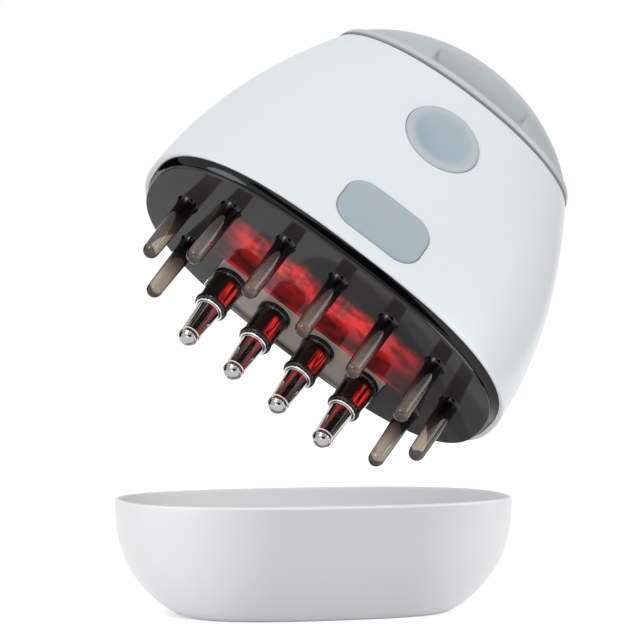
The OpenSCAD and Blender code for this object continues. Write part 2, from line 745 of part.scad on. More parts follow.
module power_button() color([0.69, 0.73, 0.74]) {
  r = power_d / 2;
  dish_r = dish_d / 2;
  dish_deep = 0.9;
  bevel = 0.7;
  dish_steps = 5;
  stem_end = power_reach - 0.25;
  on_front(power_z) {
    rotate_extrude($fn = 96) polygon(concat(
      [[0, -flange_depth], [r, -flange_depth], [r, proud - bevel], [r - bevel * 0.3, proud - bevel * 0.35],
       [r - bevel, proud]],
      [for (i = [0 : dish_steps]) let (t = 1 - i / dish_steps)
        [dish_r * t, proud + 0.05 - dish_deep * (1 - t * t) - (i == 0 ? 0.05 : 0)]]));
    translate([0, 0, -flange_depth - flange_t]) cylinder(d = power_d + 2, h = flange_t + eps, $fn = 96);
    translate([0, 0, -stem_end]) cylinder(d = 3, h = stem_end - flange_depth, $fn = FINE);
  }
}

module dose_button() color([0.69, 0.73, 0.74]) {
  edge = 0.8;
  on_front(dose_z) {
    translate([0, 0, -flange_depth - eps]) linear_extrude(flange_depth + proud - edge + 2 * eps)
      rounded(dose_l, dose_w, dose_r);
    hull()
      for (step = [[0, edge], [0.6, edge * 0.3], [2, 0], [7, -0.3]])
        translate([0, 0, proud - step[1] - eps]) linear_extrude(eps)
          rounded(dose_l - edge * step[0], dose_w - edge * step[0], dose_r - edge * step[0] / 2, 32);
    translate([0, 0, -flange_depth - flange_t]) linear_extrude(flange_t)
      rounded(dose_l + 2.4, dose_w + 1.6, dose_r + 0.8);
  }
}

piston_front = cup_front + 1.4;
piston_t = 2;
cup_bore = cup_d - 2 * cup_wall;

module pump_piston() color([0.55, 0.56, 0.58]) {
  on_front(dose_z) {
    translate([0, 0, -piston_front - piston_t])
      cylinder(d = cup_bore - 2 * slide_gap, h = piston_t, $fn = FINE);
    translate([0, 0, -piston_front - 0.1])
      cylinder(d = 4, h = piston_front - flange_depth - flange_t + 0.1, $fn = FINE);
  }
}

module pump_cup() color([0.9, 0.9, 0.88]) {
  port = cup_back - 2.6;
  on_front(dose_z) difference() {
    union() {
      translate([0, 0, -cup_back]) cylinder(d = cup_d, h = cup_back - cup_front, $fn = FINE);
      for (s = [-1, 1]) translate([0, 0, -port]) rotate([0, s * 90, 0])
        cylinder(d = spigot_d, h = cup_d / 2 + 3.5, $fn = FINE);
    }
    translate([0, 0, -cup_back + cup_wall]) cylinder(d = cup_bore, h = 20, $fn = FINE);
    translate([0, 0, -port]) rotate([0, 90, 0]) cylinder(d = 1, h = 40, center = true, $fn = FINE);
  }
}

module pump_spring() color([0.75, 0.75, 0.78]) {
  z0 = -cup_back + cup_wall + 0.1;
  on_front(dose_z) translate([0, 0, z0])
    coil(3.4, 0.35, -piston_front - piston_t - 0.1 - z0, 3);
}

// Hoses and leads ----------------------------------------------------------------------------

port_deep = cup_back - 2.6;
port_y = -half_w(dose_z) + port_deep * cos(front_lean(dose_z));
port_z = dose_z - port_deep * sin(front_lean(dose_z));
hose_start = cup_d / 2 + 3.6;

module hose(route) {
  tube(spline(route, 4), hose_d / 2);
}

module tank_hose() color([0.85, 0.87, 0.88]) {
  hose([
    [outlet[0], outlet[1], shelf_z - 4.1], [outlet[0], outlet[1], shelf_z - 10],
    [outlet[0], outlet[1] - 2, 24], [frame_half_l + 3, wall_y - 1, 16], [frame_half_l - 3, port_y, port_z], [hose_start + 3, port_y, port_z],
    [hose_start, port_y, port_z]]);
}

module nozzle_hose() color([0.85, 0.87, 0.88]) {
  end_x = -block_half_l - 4.1;
  end_z = chamber_top + manifold_h / 2;
  hose([
    [-hose_start, port_y, port_z], [-hose_start - 3, port_y, port_z], [-frame_half_l - 1, wall_y - 3, 13],
    [-frame_half_l - 6, wall_y + 4, 13],
    [end_x - 4, 7, end_z], [end_x - 3.4, pin_y - 1, end_z], [end_x - 1.6, pin_y, end_z], [end_x, pin_y, end_z]]);
}

module battery_cell() color([0.3, 0.45, 0.62]) {
  translate([-cell_l / 2, cell_y, cell_z]) rotate([0, 90, 0]) cylinder(d = cell_d, h = cell_l, $fn = FINE);
}

module battery_leads() color([0.7, 0.15, 0.12]) {
  for (s = [-1, 1]) {
    x = s * (cell_l / 2 + 0.6);
    tube(spline([[x, cell_y, cell_z + s], [x + s * 1.6, cell_y - 2, cell_z + 1], [x + s * 2.4, wall_y, board_z0 + 5],
      [s * (board_half_l + 2.6), board_y, board_z0 + 5],
      [s * (board_half_l + 0.6), board_y - board_t / 2, board_z0 + 5]], 3), 0.5, 6);
  }
}

// Charging socket ------------------------------------------------------------------------------

socket_l = 9;
socket_w = 3.2;
socket_z = ledge_z + 2 + board_t + socket_w / 2 + 0.1;
socket_back = half_w(socket_z) - wall - 5;

module charge_board() color([0.1, 0.35, 0.2]) {
  translate([-ledge_half_l, socket_back - 5, ledge_z + 2]) cube([2 * ledge_half_l, 7.4, board_t]);
}

module charge_socket() color([0.72, 0.73, 0.75]) {
  depth = wall + 4.6;
  translate([0, socket_back, socket_z]) rotate([-90, 0, 0]) difference() {
    linear_extrude(depth) rounded(socket_l, socket_w, socket_w / 2 - 0.1);
    translate([0, 0, 1]) linear_extrude(depth)
      rounded(socket_l - 0.7, socket_w - 0.7, socket_w / 2 - 0.45);
  }
  translate([-3.3, socket_back + 0.9, socket_z - 0.35]) cube([6.6, depth - 1.6, 0.7]);
}

// Vibration motor --------------------------------------------------------------------------------

mount_h = 9;
motor_z = plate_t + 1.6;
weight_t = 4;

module at_motor() {
  translate([-motor_x, 0, 0]) children();
}

module motor_mount() color([0.2, 0.2, 0.22]) {
  at_motor() difference() {
    translate([0, 0, plate_t]) cylinder(d = motor_d + 3, h = mount_h, $fn = FINE);
    translate([0, 0, motor_z]) cylinder(d = motor_d + 2 * slide_gap, h = 40, $fn = FINE);
  }
}

module motor_can() color([0.7, 0.71, 0.73]) {
  at_motor() {
    translate([0, 0, motor_z + 0.05]) cylinder(d = motor_d, h = motor_l, $fn = FINE);
    translate([0, 0, motor_z + motor_l]) cylinder(d = 3, h = 0.6, $fn = FINE);
    translate([0, 0, motor_z + motor_l]) cylinder(d = 1, h = 1.4 + weight_t, $fn = FINE);
  }
}

module motor_weight() color([0.45, 0.45, 0.47]) {
  at_motor() translate([0, 0, motor_z + motor_l + 1]) difference() {
    union() {
      cylinder(d = 3, h = weight_t, $fn = FINE);
      intersection() {
        cylinder(d = motor_d - 1, h = weight_t, $fn = FINE);
        translate([-motor_d, -motor_d, 0]) cube([2 * motor_d, motor_d, weight_t]);
      }
    }
    translate([0, 0, -1]) cylinder(d = 1 + 2 * slide_gap, h = 20, $fn = FINE);
  }
}

module motor_leads() color([0.1, 0.1, 0.1]) {
  for (s = [-1, 1])
    tube(spline([[-motor_x + motor_d / 2 + 0.8, s * 1.2, plate_t + mount_h + 2.5], [7.5 - motor_x, s * 1.2, 19],
      [11.5 - motor_x, wall_y + 2 + s, board_z0 - 2], [-board_half_l - 3, board_y + 1, board_z0 + 1.8 + s],
      [-board_half_l - 0.6, board_y - board_t / 2, board_z0 + 1.8 + s]], 3), 0.5, 6);
}

// One line for each piece ------------------------------------------------------------------------

dust_cap();
held() outer_shell();
held() comb_plate();
held() nozzle_bar();
held() pin_collars();
held() collar_rings();
held() metal_pin(0);  // pin_1
held() metal_pin(1);  // pin_2
held() metal_pin(2);  // pin_3
held() metal_pin(3);  // pin_4
held() roller_ball(0);  // ball_1
held() roller_ball(1);  // ball_2
held() roller_ball(2);  // ball_3
held() roller_ball(3);  // ball_4
held() pin_springs();
held() nozzle_manifold();
held() light_diffuser();
held() light_board();
held() light_diodes();
held() lid();
held() lid_seal();
held() filler_plug();
held() liquid_tank();
held() chassis();
held() chassis_screws();
held() main_board();
held() board_parts();
held() board_screws();
held() tact_switch();
held() switch_plunger();
held() power_button();
held() dose_button();
held() pump_piston();
held() pump_cup();
held() pump_spring();
held() tank_hose();
held() nozzle_hose();
held() battery_cell();
held() battery_leads();
held() charge_board();
held() charge_socket();
held() motor_mount();
held() motor_can();
held() motor_weight();
held() motor_leads();
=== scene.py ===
# Electric scalp massager with its dust cap taken off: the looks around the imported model.
# Handset pieces are drawn upright in millimetres, comb face at z = 0 and buttons on -Y,
# and a matrix worked out from the frame's own joints then puts them in place.
import json
import math

import bmesh
import bpy
from mathutils import Matrix, Vector


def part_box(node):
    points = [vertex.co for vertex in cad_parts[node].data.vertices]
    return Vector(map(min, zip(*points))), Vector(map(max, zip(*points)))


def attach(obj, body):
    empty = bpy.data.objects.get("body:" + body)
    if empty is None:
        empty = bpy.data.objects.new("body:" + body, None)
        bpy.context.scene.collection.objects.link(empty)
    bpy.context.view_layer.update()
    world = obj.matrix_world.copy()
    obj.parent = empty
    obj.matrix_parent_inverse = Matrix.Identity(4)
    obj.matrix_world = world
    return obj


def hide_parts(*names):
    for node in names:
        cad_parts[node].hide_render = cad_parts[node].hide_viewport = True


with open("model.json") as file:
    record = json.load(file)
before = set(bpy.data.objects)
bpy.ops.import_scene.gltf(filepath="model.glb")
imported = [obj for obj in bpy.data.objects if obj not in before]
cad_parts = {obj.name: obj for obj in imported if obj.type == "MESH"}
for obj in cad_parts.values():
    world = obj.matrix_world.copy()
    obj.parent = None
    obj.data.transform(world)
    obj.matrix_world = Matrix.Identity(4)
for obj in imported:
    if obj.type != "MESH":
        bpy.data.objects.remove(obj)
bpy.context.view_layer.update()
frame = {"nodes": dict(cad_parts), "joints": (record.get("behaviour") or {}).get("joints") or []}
print("frame loaded:", len(frame["nodes"]), "nodes")

joints = {j["name"]: j for j in frame["joints"]}
millimetre = Matrix.Scale(0.001, 4)

plate = {
    "halfLength": 48.0, "halfWidth": 22.5, "roundness": 2.6, "stepHeight": 3.0, "stepOut": 1.1,
    "notchHalf": 24.3, "notchFront": 7.0, "fitGap": 0.15, "thick": 2.0, "bevel": 0.3, "skirtWall": 1.4, "skirtTop": 7,
}
shell = {
    "height": 68.0, "lipEnds": 1.3, "lipSides": 0.6, "seamHalfLength": 35.0, "seamHalfWidth": 14.3,
    "bulgeEnds": 2.0, "bulgeSides": 1.1, "footRound": 2.5, "seamRound": 2.1, "wall": 1.8, "edgeRound": 0.45,
    "levels": 72, "innerLevels": 30, "cutDepth": 8, "flangeBack": 2.7,
}
socketMouth = {"length": 9.3, "width": 3.5, "corner": 1.74, "cutDepth": 6, "out": 2}
# named as the inputs of the node tree that draws the teeth
teeth = {"Pitch": 14.8, "Row Y": -13.6, "Bow": 3.0, "Length": 18.4, "Root Radius": 2.35, "Tip Radius": 1.95,
         "Side X": 38.4, "Side Y": -1.7, "Rear X": 32.5, "Rear Y": 10.4}
pins = {"count": 4, "pitch": 13.1, "y": 13.8, "radius": 2.95, "tipRadius": 2.45, "ballDrop": 18.9,
        "ballRadius": 2.25, "ballHold": 0.6, "ballGap": 0.05, "collarRadius": 4.05, "collarLength": 9.0,
        "boreGap": 0.07, "headRadius": 3.7, "headTop": 5.15, "headFoot": 3.95, "channel": 0.8, "around": 72}
bar = {"sunk": 0.8, "lipWidth": 1.1, "bevel": 0.25, "pinGap": 0.1, "chamber": 3.85, "blockFront": 8.35,
       "blockBack": 18.55, "blockFoot": 3.0, "blockTop": 11}
lid = {"height": 20.0, "seamGap": 0.3, "bandHeight": 2.4, "wall": 1.6, "skirt": 5.0, "bandOut": 0.3,
       "recessHalf": 13.3, "recessUp": 3.0, "recessDeep": 2.6, "recessCorner": 2.4,
       "domeSteps": 48, "hollowSteps": 20, "postY": 4, "postRadius": 3, "postFoot": 66.5, "postTop": 85.4}
power = {"z": 49.4, "diameter": 19.6, "dish": 15.6, "dishDeep": 0.9, "proud": 0.5, "gap": 0.15, "rimRound": 0.7,
         "stemRadius": 1.5, "stemFoot": -5.2, "dishSteps": 28}
dose = {"z": 15.0, "length": 23.2, "width": 15.4, "corner": 5.6, "proud": 0.5, "edge": 0.8, "gap": 0.15,
        "pillow": 0.24, "pillowSteps": 12}
dustCap = {"height": 28.0, "wall": 1.0, "baseHalfLength": 32.8, "baseHalfWidth": 16.5, "sideBend": 2.6,
           "footBend": 0.8, "steps": 56, "floorShare": 0.955}


def handsetMatrix():
    # the lid slides along the handset's own Z, and the balls turn about its own X
    up = Vector(joints["lid_pull"]["axis"]).normalized()
    across = Vector(joints["ball_1_roll"]["axis"]).normalized()
    away = up.cross(across).normalized()
    across = away.cross(up)
    turn = Matrix((across, away, up)).transposed()
    balls = [Vector(joints["ball_%d_roll" % (i + 1)]["pos_m"]) for i in range(pins["count"])]
    middle = sum(balls, Vector()) / len(balls)
    offset = turn @ Vector((0, pins["y"], -pins["ballDrop"])) * 0.001
    return Matrix.Translation(middle - offset) @ turn.to_4x4()


placed = handsetMatrix()
intoPlace = placed @ millimetre
pinPlaces = [Vector(((i - (pins["count"] - 1) / 2) * pins["pitch"], pins["y"], 0)) for i in range(pins["count"])]
mergeDistance = 1e-4


def addObject(name, data):
    thing = bpy.data.objects.new(name, data)
    bpy.context.scene.collection.objects.link(thing)
    return thing


def evaluatedMesh(thing):
    bpy.context.view_layer.update()
    return bpy.data.meshes.new_from_object(thing.evaluated_get(bpy.context.evaluated_depsgraph_get()))


def angles(start, stop, step):
    return [math.radians(d) for d in range(start, stop, step)]


def oval(halfLength, halfWidth, roundness, z, count=192):
    points = []
    for i in range(count):
        t = 2 * math.pi * i / count
        c, s = math.cos(t), math.sin(t)
        points.append((halfLength * math.copysign(abs(c) ** (2 / roundness), c),
                       halfWidth * math.copysign(abs(s) ** (2 / roundness), s), z))
    return points


def roundedRectangle(length, width, radius, z, perCorner=16):
    points = []
    corners = ((1, 1, 0), (-1, 1, 90), (-1, -1, 180), (1, -1, 270))
    for sx, sy, start in corners:
        for i in range(perCorner):
            a = math.radians(start + 90 * i / (perCorner - 1))
            points.append((sx * (length / 2 - radius) + radius * math.cos(a),
                           sy * (width / 2 - radius) + radius * math.sin(a), z))
    return points


def circleRing(radius, z, count=96):
    return [(radius * math.cos(2 * math.pi * i / count), radius * math.sin(2 * math.pi * i / count), z)
            for i in range(count)]


def loftInto(bm, rings, closeStart=True, closeEnd=True, joinEnds=False):
    rows = [[bm.verts.new(p) for p in ring] for ring in rings]
    count = len(rings[0])
    pairs = list(zip(rows, rows[1:]))
    if joinEnds:
        pairs.append((rows[-1], rows[0]))
    for lower, upper in pairs:
        for i in range(count):
            k = (i + 1) % count
            bm.faces.new((lower[i], lower[k], upper[k], upper[i]))
    for row, wanted in ((rows[0], closeStart), (rows[-1], closeEnd)):
        if wanted and not joinEnds:
            centre = sum((v.co for v in row), Vector()) / count
            pole = bm.verts.new(centre)
            for i in range(count):
                bm.faces.new((row[i], row[(i + 1) % count], pole))


def finishMesh(bm, name, sharpAngle=30):
    bmesh.ops.remove_doubles(bm, verts=bm.verts, dist=mergeDistance)
    bmesh.ops.recalc_face_normals(bm, faces=bm.faces)
    mesh = bpy.data.meshes.new(name)
    bm.to_mesh(mesh)
    bm.free()
    mesh.shade_smooth()
    mesh.set_sharp_from_angle(angle=math.radians(sharpAngle))
    return mesh


def newPiece(name, mesh, material, body, matrix=intoPlace):
    mesh.transform(matrix)
    mesh.name = name
    piece = addObject(name, mesh)
    mesh.materials.clear()
    mesh.materials.append(material)
    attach(piece, body)
    return piece


def loftMesh(name, rings, **ends):
    bm = bmesh.new()
    loftInto(bm, rings, **ends)
    return finishMesh(bm, name)


def cutMesh(mesh, cutters, name):
    # takes each cutter out of the mesh with an exact boolean
    base = addObject(name + ".base", mesh)
    tools = []
    for i, cutter in enumerate(cutters):
        tool = addObject("%s.cut%d" % (name, i), cutter)
        modifier = base.modifiers.new("cut%d" % i, "BOOLEAN")
        modifier.operation = "DIFFERENCE"
        modifier.solver = "EXACT"
        modifier.object = tool
        tools.append(tool)
    result = evaluatedMesh(base)
    for thing in tools + [base]:
        bpy.data.objects.remove(thing)
    result.shade_smooth()
    result.set_sharp_from_angle(angle=math.radians(30))
    return result


def lathedCutters(radius, low, high):
    # one round cutter at every pin
    cutters = []
    for place in pinPlaces:
        cutter = turnedMesh("bore", [(0, low), (radius, low), (radius, high), (0, high)], count=64)
        cutter.transform(Matrix.Translation(place))
        cutters.append(cutter)
    return cutters


def boxMesh(low, high, name):
    bm = bmesh.new()
    bmesh.ops.create_cube(bm, size=1)
    middle = [(a + b) / 2 for a, b in zip(low, high)]
    spread = [b - a for a, b in zip(low, high)]
    bmesh.ops.scale(bm, vec=spread, verts=bm.verts)
    bmesh.ops.translate(bm, vec=middle, verts=bm.verts)
    return finishMesh(bm, name)


def turnedMesh(name, profile, count=96, closed=False):
    # profile holds (radius, z) pairs from one end to the other
    rings = [circleRing(max(radius, 1e-5), z, count) for radius, z in profile]
    return loftMesh(name, rings, closeStart=not closed, closeEnd=not closed, joinEnds=closed)


def joinMeshes(meshes, name, sharpAngle=30):
    bm = bmesh.new()
    for mesh in meshes:
        bm.from_mesh(mesh)
    return finishMesh(bm, name, sharpAngle)


def clamp01(t):
    return min(1.0, max(0.0, t))


rimHalfLength = plate["halfLength"] + plate["stepOut"]
rimHalfWidth = plate["halfWidth"] + plate["stepOut"]
footHalfLength = rimHalfLength + shell["lipEnds"]
footHalfWidth = rimHalfWidth + shell["lipSides"]


def shellRise(z):
    return clamp01((z - plate["stepHeight"]) / (shell["height"] - plate["stepHeight"]))


def bulged(seam, foot, z, bulge):
    return seam + (foot - seam) * (1 - shellRise(z) ** bulge)


def shellHalfLength(z):
    return bulged(shell["seamHalfLength"], footHalfLength, z, shell["bulgeEnds"])


def shellHalfWidth(z):
    return bulged(shell["seamHalfWidth"], footHalfWidth, z, shell["bulgeSides"])


def shellRound(z):
    return shell["footRound"] + (shell["seamRound"] - shell["footRound"]) * shellRise(z)


def shellRing(z, inset=0.0, at=None, count=256):
    return oval(shellHalfLength(z) - inset, shellHalfWidth(z) - inset, shellRound(z), z if at is None else at, count)


def plateRing(z, inset=0.0, count=256):
    third = plate["stepHeight"] / 3
    flare = plate["stepOut"] * clamp01((z - third) / (2 * third)) ** 1.4
    return oval(plate["halfLength"] + flare - inset, plate["halfWidth"] + flare - inset, plate["roundness"], z, count)


def bevelRings(bevel):
    # the rounded lower edge of the comb plate and the nozzle bar
    return [oval(plate["halfLength"] - bevel * (1 - math.sin(a)), plate["halfWidth"] - bevel * (1 - math.sin(a)),
                 plate["roundness"], bevel * (1 - math.cos(a)), 256) for a in angles(0, 91, 18)]


def stepRings():
    # the groove under the plate's upper edge
    height = plate["stepHeight"]
    return [plateRing(height - 0.24, 0.16), plateRing(height - 0.1, 0.16), plateRing(height)]


def lidRing(t, inset=0.0, z=None, count=192, endInset=None):
    height = shell["height"] + (lid["height"] - inset) * t if z is None else z
    endInset = inset if endInset is None else endInset
    return oval((shell["seamHalfLength"] - endInset) * math.sqrt(max(0, 1 - t ** 1.3)) + 1e-4,
                (shell["seamHalfWidth"] - inset) * math.sqrt(max(0, 1 - t * t)) + 1e-4,
                shell["seamRound"], height, count)


def frontMatrix(z):
    # stands on the front of the shell at that height, with +Z along the outward normal
    lean = math.atan2(shellHalfWidth(z - 1) - shellHalfWidth(z + 1), 2)
    return Matrix.Translation((0, -shellHalfWidth(z), z)) @ Matrix.Rotation(math.radians(90) - lean, 4, "X")


def linear(hexColour):
    channels = [int(hexColour[i:i + 2], 16) / 255 for i in (1, 3, 5)]
    return tuple(c / 12.92 if c <= 0.04045 else ((c + 0.055) / 1.055) ** 2.4 for c in channels) + (1.0,)


def plugIn(node, plugs):
    # each socket takes another node's output, a colour written as text, or a plain value
    for name, value in plugs.items():
        if isinstance(value, bpy.types.NodeSocket):
            node.id_data.links.new(value, node.inputs[name])
        else:
            node.inputs[name].default_value = linear(value) if isinstance(value, str) else value


def addNode(tree, kind, plugs=None, **settings):
    node = tree.nodes.new(kind)
    for name, value in settings.items():
        setattr(node, name, value)
    plugIn(node, plugs or {})
    return node


def treeOf(values):
    return next(value.id_data for value in values if isinstance(value, bpy.types.NodeSocket))


def calc(operation, *values, clamp=False):
    plugs = dict(enumerate(values))
    return addNode(treeOf(values), "ShaderNodeMath", plugs, operation=operation, use_clamp=clamp).outputs[0]


def product(first, *others):
    for other in others:
        first = calc("MULTIPLY", first, other)
    return first


def smoothStep(value, low, high):
    plugs = {"From Min": low, "From Max": high, "Value": value}
    return addNode(value.id_data, "ShaderNodeMapRange", plugs, interpolation_type="SMOOTHSTEP").outputs["Result"]


def noiseAt(vector, scale, **plugs):
    return addNode(vector.id_data, "ShaderNodeTexNoise", dict(plugs, Vector=vector, Scale=scale)).outputs["Fac"]


def stretched(vector, scale):
    return addNode(vector.id_data, "ShaderNodeMapping", {"Vector": vector, "Scale": scale}).outputs["Vector"]


def vectorMath(operation, vector, other=(0, 0, 0)):
    return addNode(vector.id_data, "ShaderNodeVectorMath", {0: vector, 1: other}, operation=operation).outputs


def flattened(vector):
    return vectorMath("MULTIPLY", vector, (1, 1, 0))["Vector"]


def splitUp(vector):
    return addNode(vector.id_data, "ShaderNodeSeparateXYZ", {0: vector}).outputs


def colourRamp(level, stops):
    # the first and the last stop are the two ends that a ramp always has
    ramp = addNode(level.id_data, "ShaderNodeValToRGB", {"Fac": level})
    elements = ramp.color_ramp.elements
    for position, colour in stops[1:-1]:
        elements.new(position).color = colour
    elements[0].color, elements[len(stops) - 1].color = stops[0][1], stops[-1][1]
    return ramp.outputs["Color"]


def stackTones(base, layers):
    # lays each colour over the ones before it, by its mask
    colour = base
    for factor, tint in layers:
        plugs = {"Factor": factor, "A": colour, "B": tint}
        colour = addNode(factor.id_data, "ShaderNodeMix", plugs, data_type="RGBA").outputs["Result"]
    return colour


def placeIn(tree, matrix):
    # object coordinates in metres, turned back into the frame that the matrix stands for
    where = addNode(tree, "ShaderNodeTexCoord").outputs["Object"]
    plugs = {"Vector": where, "Location": matrix.to_translation(), "Rotation": matrix.to_euler()}
    return addNode(tree, "ShaderNodeMapping", plugs, vector_type="TEXTURE").outputs["Vector"]


def newTree(name, kind, takes, gives):
    # a node group with the named inputs and outputs, each of the given socket type
    tree = bpy.data.node_groups.new(name, kind)
    for direction, sockets in (("INPUT", takes), ("OUTPUT", gives)):
        for label, sort in sockets.items():
            tree.interface.new_socket(name=label, in_out=direction, socket_type="NodeSocket" + sort)
    return tree, tree.nodes.new("NodeGroupInput").outputs, tree.nodes.new("NodeGroupOutput")


mould = {"broadScale": 38, "broadDetail": 3, "fineDetail": 4, "roughLow": 0.8, "roughRange": 0.4, "relief": 0.00005}


def mouldGroup():
    # fine mould texture: a colour that varies a little, a roughness and a bumped normal
    tree, given, out = newTree(
        "mouldSkin", "ShaderNodeTree",
        {"Colour": "Color", "Variation": "Float", "Roughness": "Float", "Grain": "Float", "Bump": "Float"},
        {"Colour": "Color", "Roughness": "Float", "Normal": "Vector"})
    where = addNode(tree, "ShaderNodeTexCoord").outputs["Object"]
    broad = noiseAt(where, mould["broadScale"], Detail=mould["broadDetail"])
    fine = noiseAt(where, given["Grain"], Detail=mould["fineDetail"])
    lowest = calc("MULTIPLY_ADD", given["Variation"], -0.5, 1.0)
    spread = calc("MULTIPLY_ADD", broad, given["Variation"], lowest)
    tint = addNode(tree, "ShaderNodeMix", {"Factor": 1.0, "A": given["Colour"], "B": spread},
                   data_type="RGBA", blend_type="MULTIPLY")
    worn = calc("MULTIPLY_ADD", fine, mould["roughRange"], mould["roughLow"])
    bump = addNode(tree, "ShaderNodeBump", {"Distance": mould["relief"], "Height": fine, "Strength": given["Bump"]})
    plugIn(out, {"Colour": tint.outputs["Result"], "Normal": bump.outputs["Normal"],
                       "Roughness": calc("MULTIPLY", worn, given["Roughness"])})
    return tree


drawing = {"along": 0.03, "finer": 10, "relief": 0.00003}


def brushGroup():
    # drawn metal: long fine streaks down the handset
    tree, given, out = newTree(
        "drawnMetal", "ShaderNodeTree", {"Streaks": "Float", "Roughness": "Float", "Depth": "Float"},
        {"Roughness": "Float", "Normal": "Vector"})
    where = addNode(tree, "ShaderNodeTexCoord").outputs["Object"]
    turned = addNode(tree, "ShaderNodeMapping", {"Vector": where, "Rotation": placed.to_euler()},
                     vector_type="TEXTURE").outputs["Vector"]
    streaks = noiseAt(stretched(turned, (1, 1, drawing["along"])),
                      calc("MULTIPLY", given["Streaks"], drawing["finer"]))
    bump = addNode(tree, "ShaderNodeBump",
                   {"Distance": drawing["relief"], "Height": streaks, "Strength": given["Depth"]})
    plugIn(out, {"Roughness": product(streaks, given["Roughness"], 2), "Normal": bump.outputs["Normal"]})
    return tree


mouldSkin = mouldGroup()
drawnMetal = brushGroup()


def newMaterial(name):
    material = bpy.data.materials.new(name)
    material.use_nodes = True
    return material, material.node_tree.nodes["Principled BSDF"]


def handsetMaterial(name):
    # a new material, its shader and the place in the handset's own frame
    material, shader = newMaterial(name)
    return material, shader, placeIn(shader.id_data, placed)


def wearSkin(shader, colour, roughness, variation, grain=900, bump=0.05):
    plugs = {"Colour": colour, "Roughness": roughness, "Variation": variation, "Grain": grain, "Bump": bump}
    skin = addNode(shader.id_data, "ShaderNodeGroup", plugs, node_tree=mouldSkin).outputs
    plugIn(shader, {"Base Color": skin["Colour"], "Roughness": skin["Roughness"], "Normal": skin["Normal"]})


def moulded(name, colour, roughness, variation, grain=900, bump=0.05, extra=None):
    material, shader = newMaterial(name)
    wearSkin(shader, colour, roughness, variation, grain, bump)
    plugIn(shader, extra or {})
    return material


def clearPlastic(name, colour, transmission, roughness):
    return moulded(name, colour, roughness, variation=0.06, grain=500, bump=0.01,
                   extra={"Transmission Weight": transmission, "IOR": 1.46})


def metal(name, colour, roughness, streaks=260, depth=0.1):
    material, shader = newMaterial(name)
    plugs = {"Streaks": streaks, "Roughness": roughness, "Depth": depth}
    drawn = addNode(shader.id_data, "ShaderNodeGroup", plugs, node_tree=drawnMetal).outputs
    plugIn(shader, {"Base Color": colour, "Metallic": 1.0, "Roughness": drawn["Roughness"],
                          "Normal": drawn["Normal"]})
    return material


# lengths of the painted glow are metres in the handset's own frame
plateAndPaintedGlow = {
    "halfLength": 0.0285, "front": -0.0088, "middle": -0.0008, "rear": 0.0066, "rearSoft": 0.0006, "soft": 0.0032,
    "lineFrom": 0.0011, "lineTo": 0.0003, "cloud": 150, "drift": 0.005, "spotPitch": 0.0112, "spotRange": 0.14,
    "speckle": 190, "speckleRange": 0.78, "bright": 0.75, "dim": 0.17, "line": 0.5, "centre": -0.002,
    "centreFrom": 0.036, "centreTo": 0.004, "centreRange": 0.55, "strength": 0.95, "shade": 0.7,
    "stops": ((0.0, (0, 0, 0, 1)), (0.4, (0.4, 0.008, 0.01, 1)), (1.0, (1.0, 0.035, 0.03, 1))),
    "face": "#2d2b2b", "side": "#070707", "sideFrom": 0.0003, "sideTo": 0.0007,
}


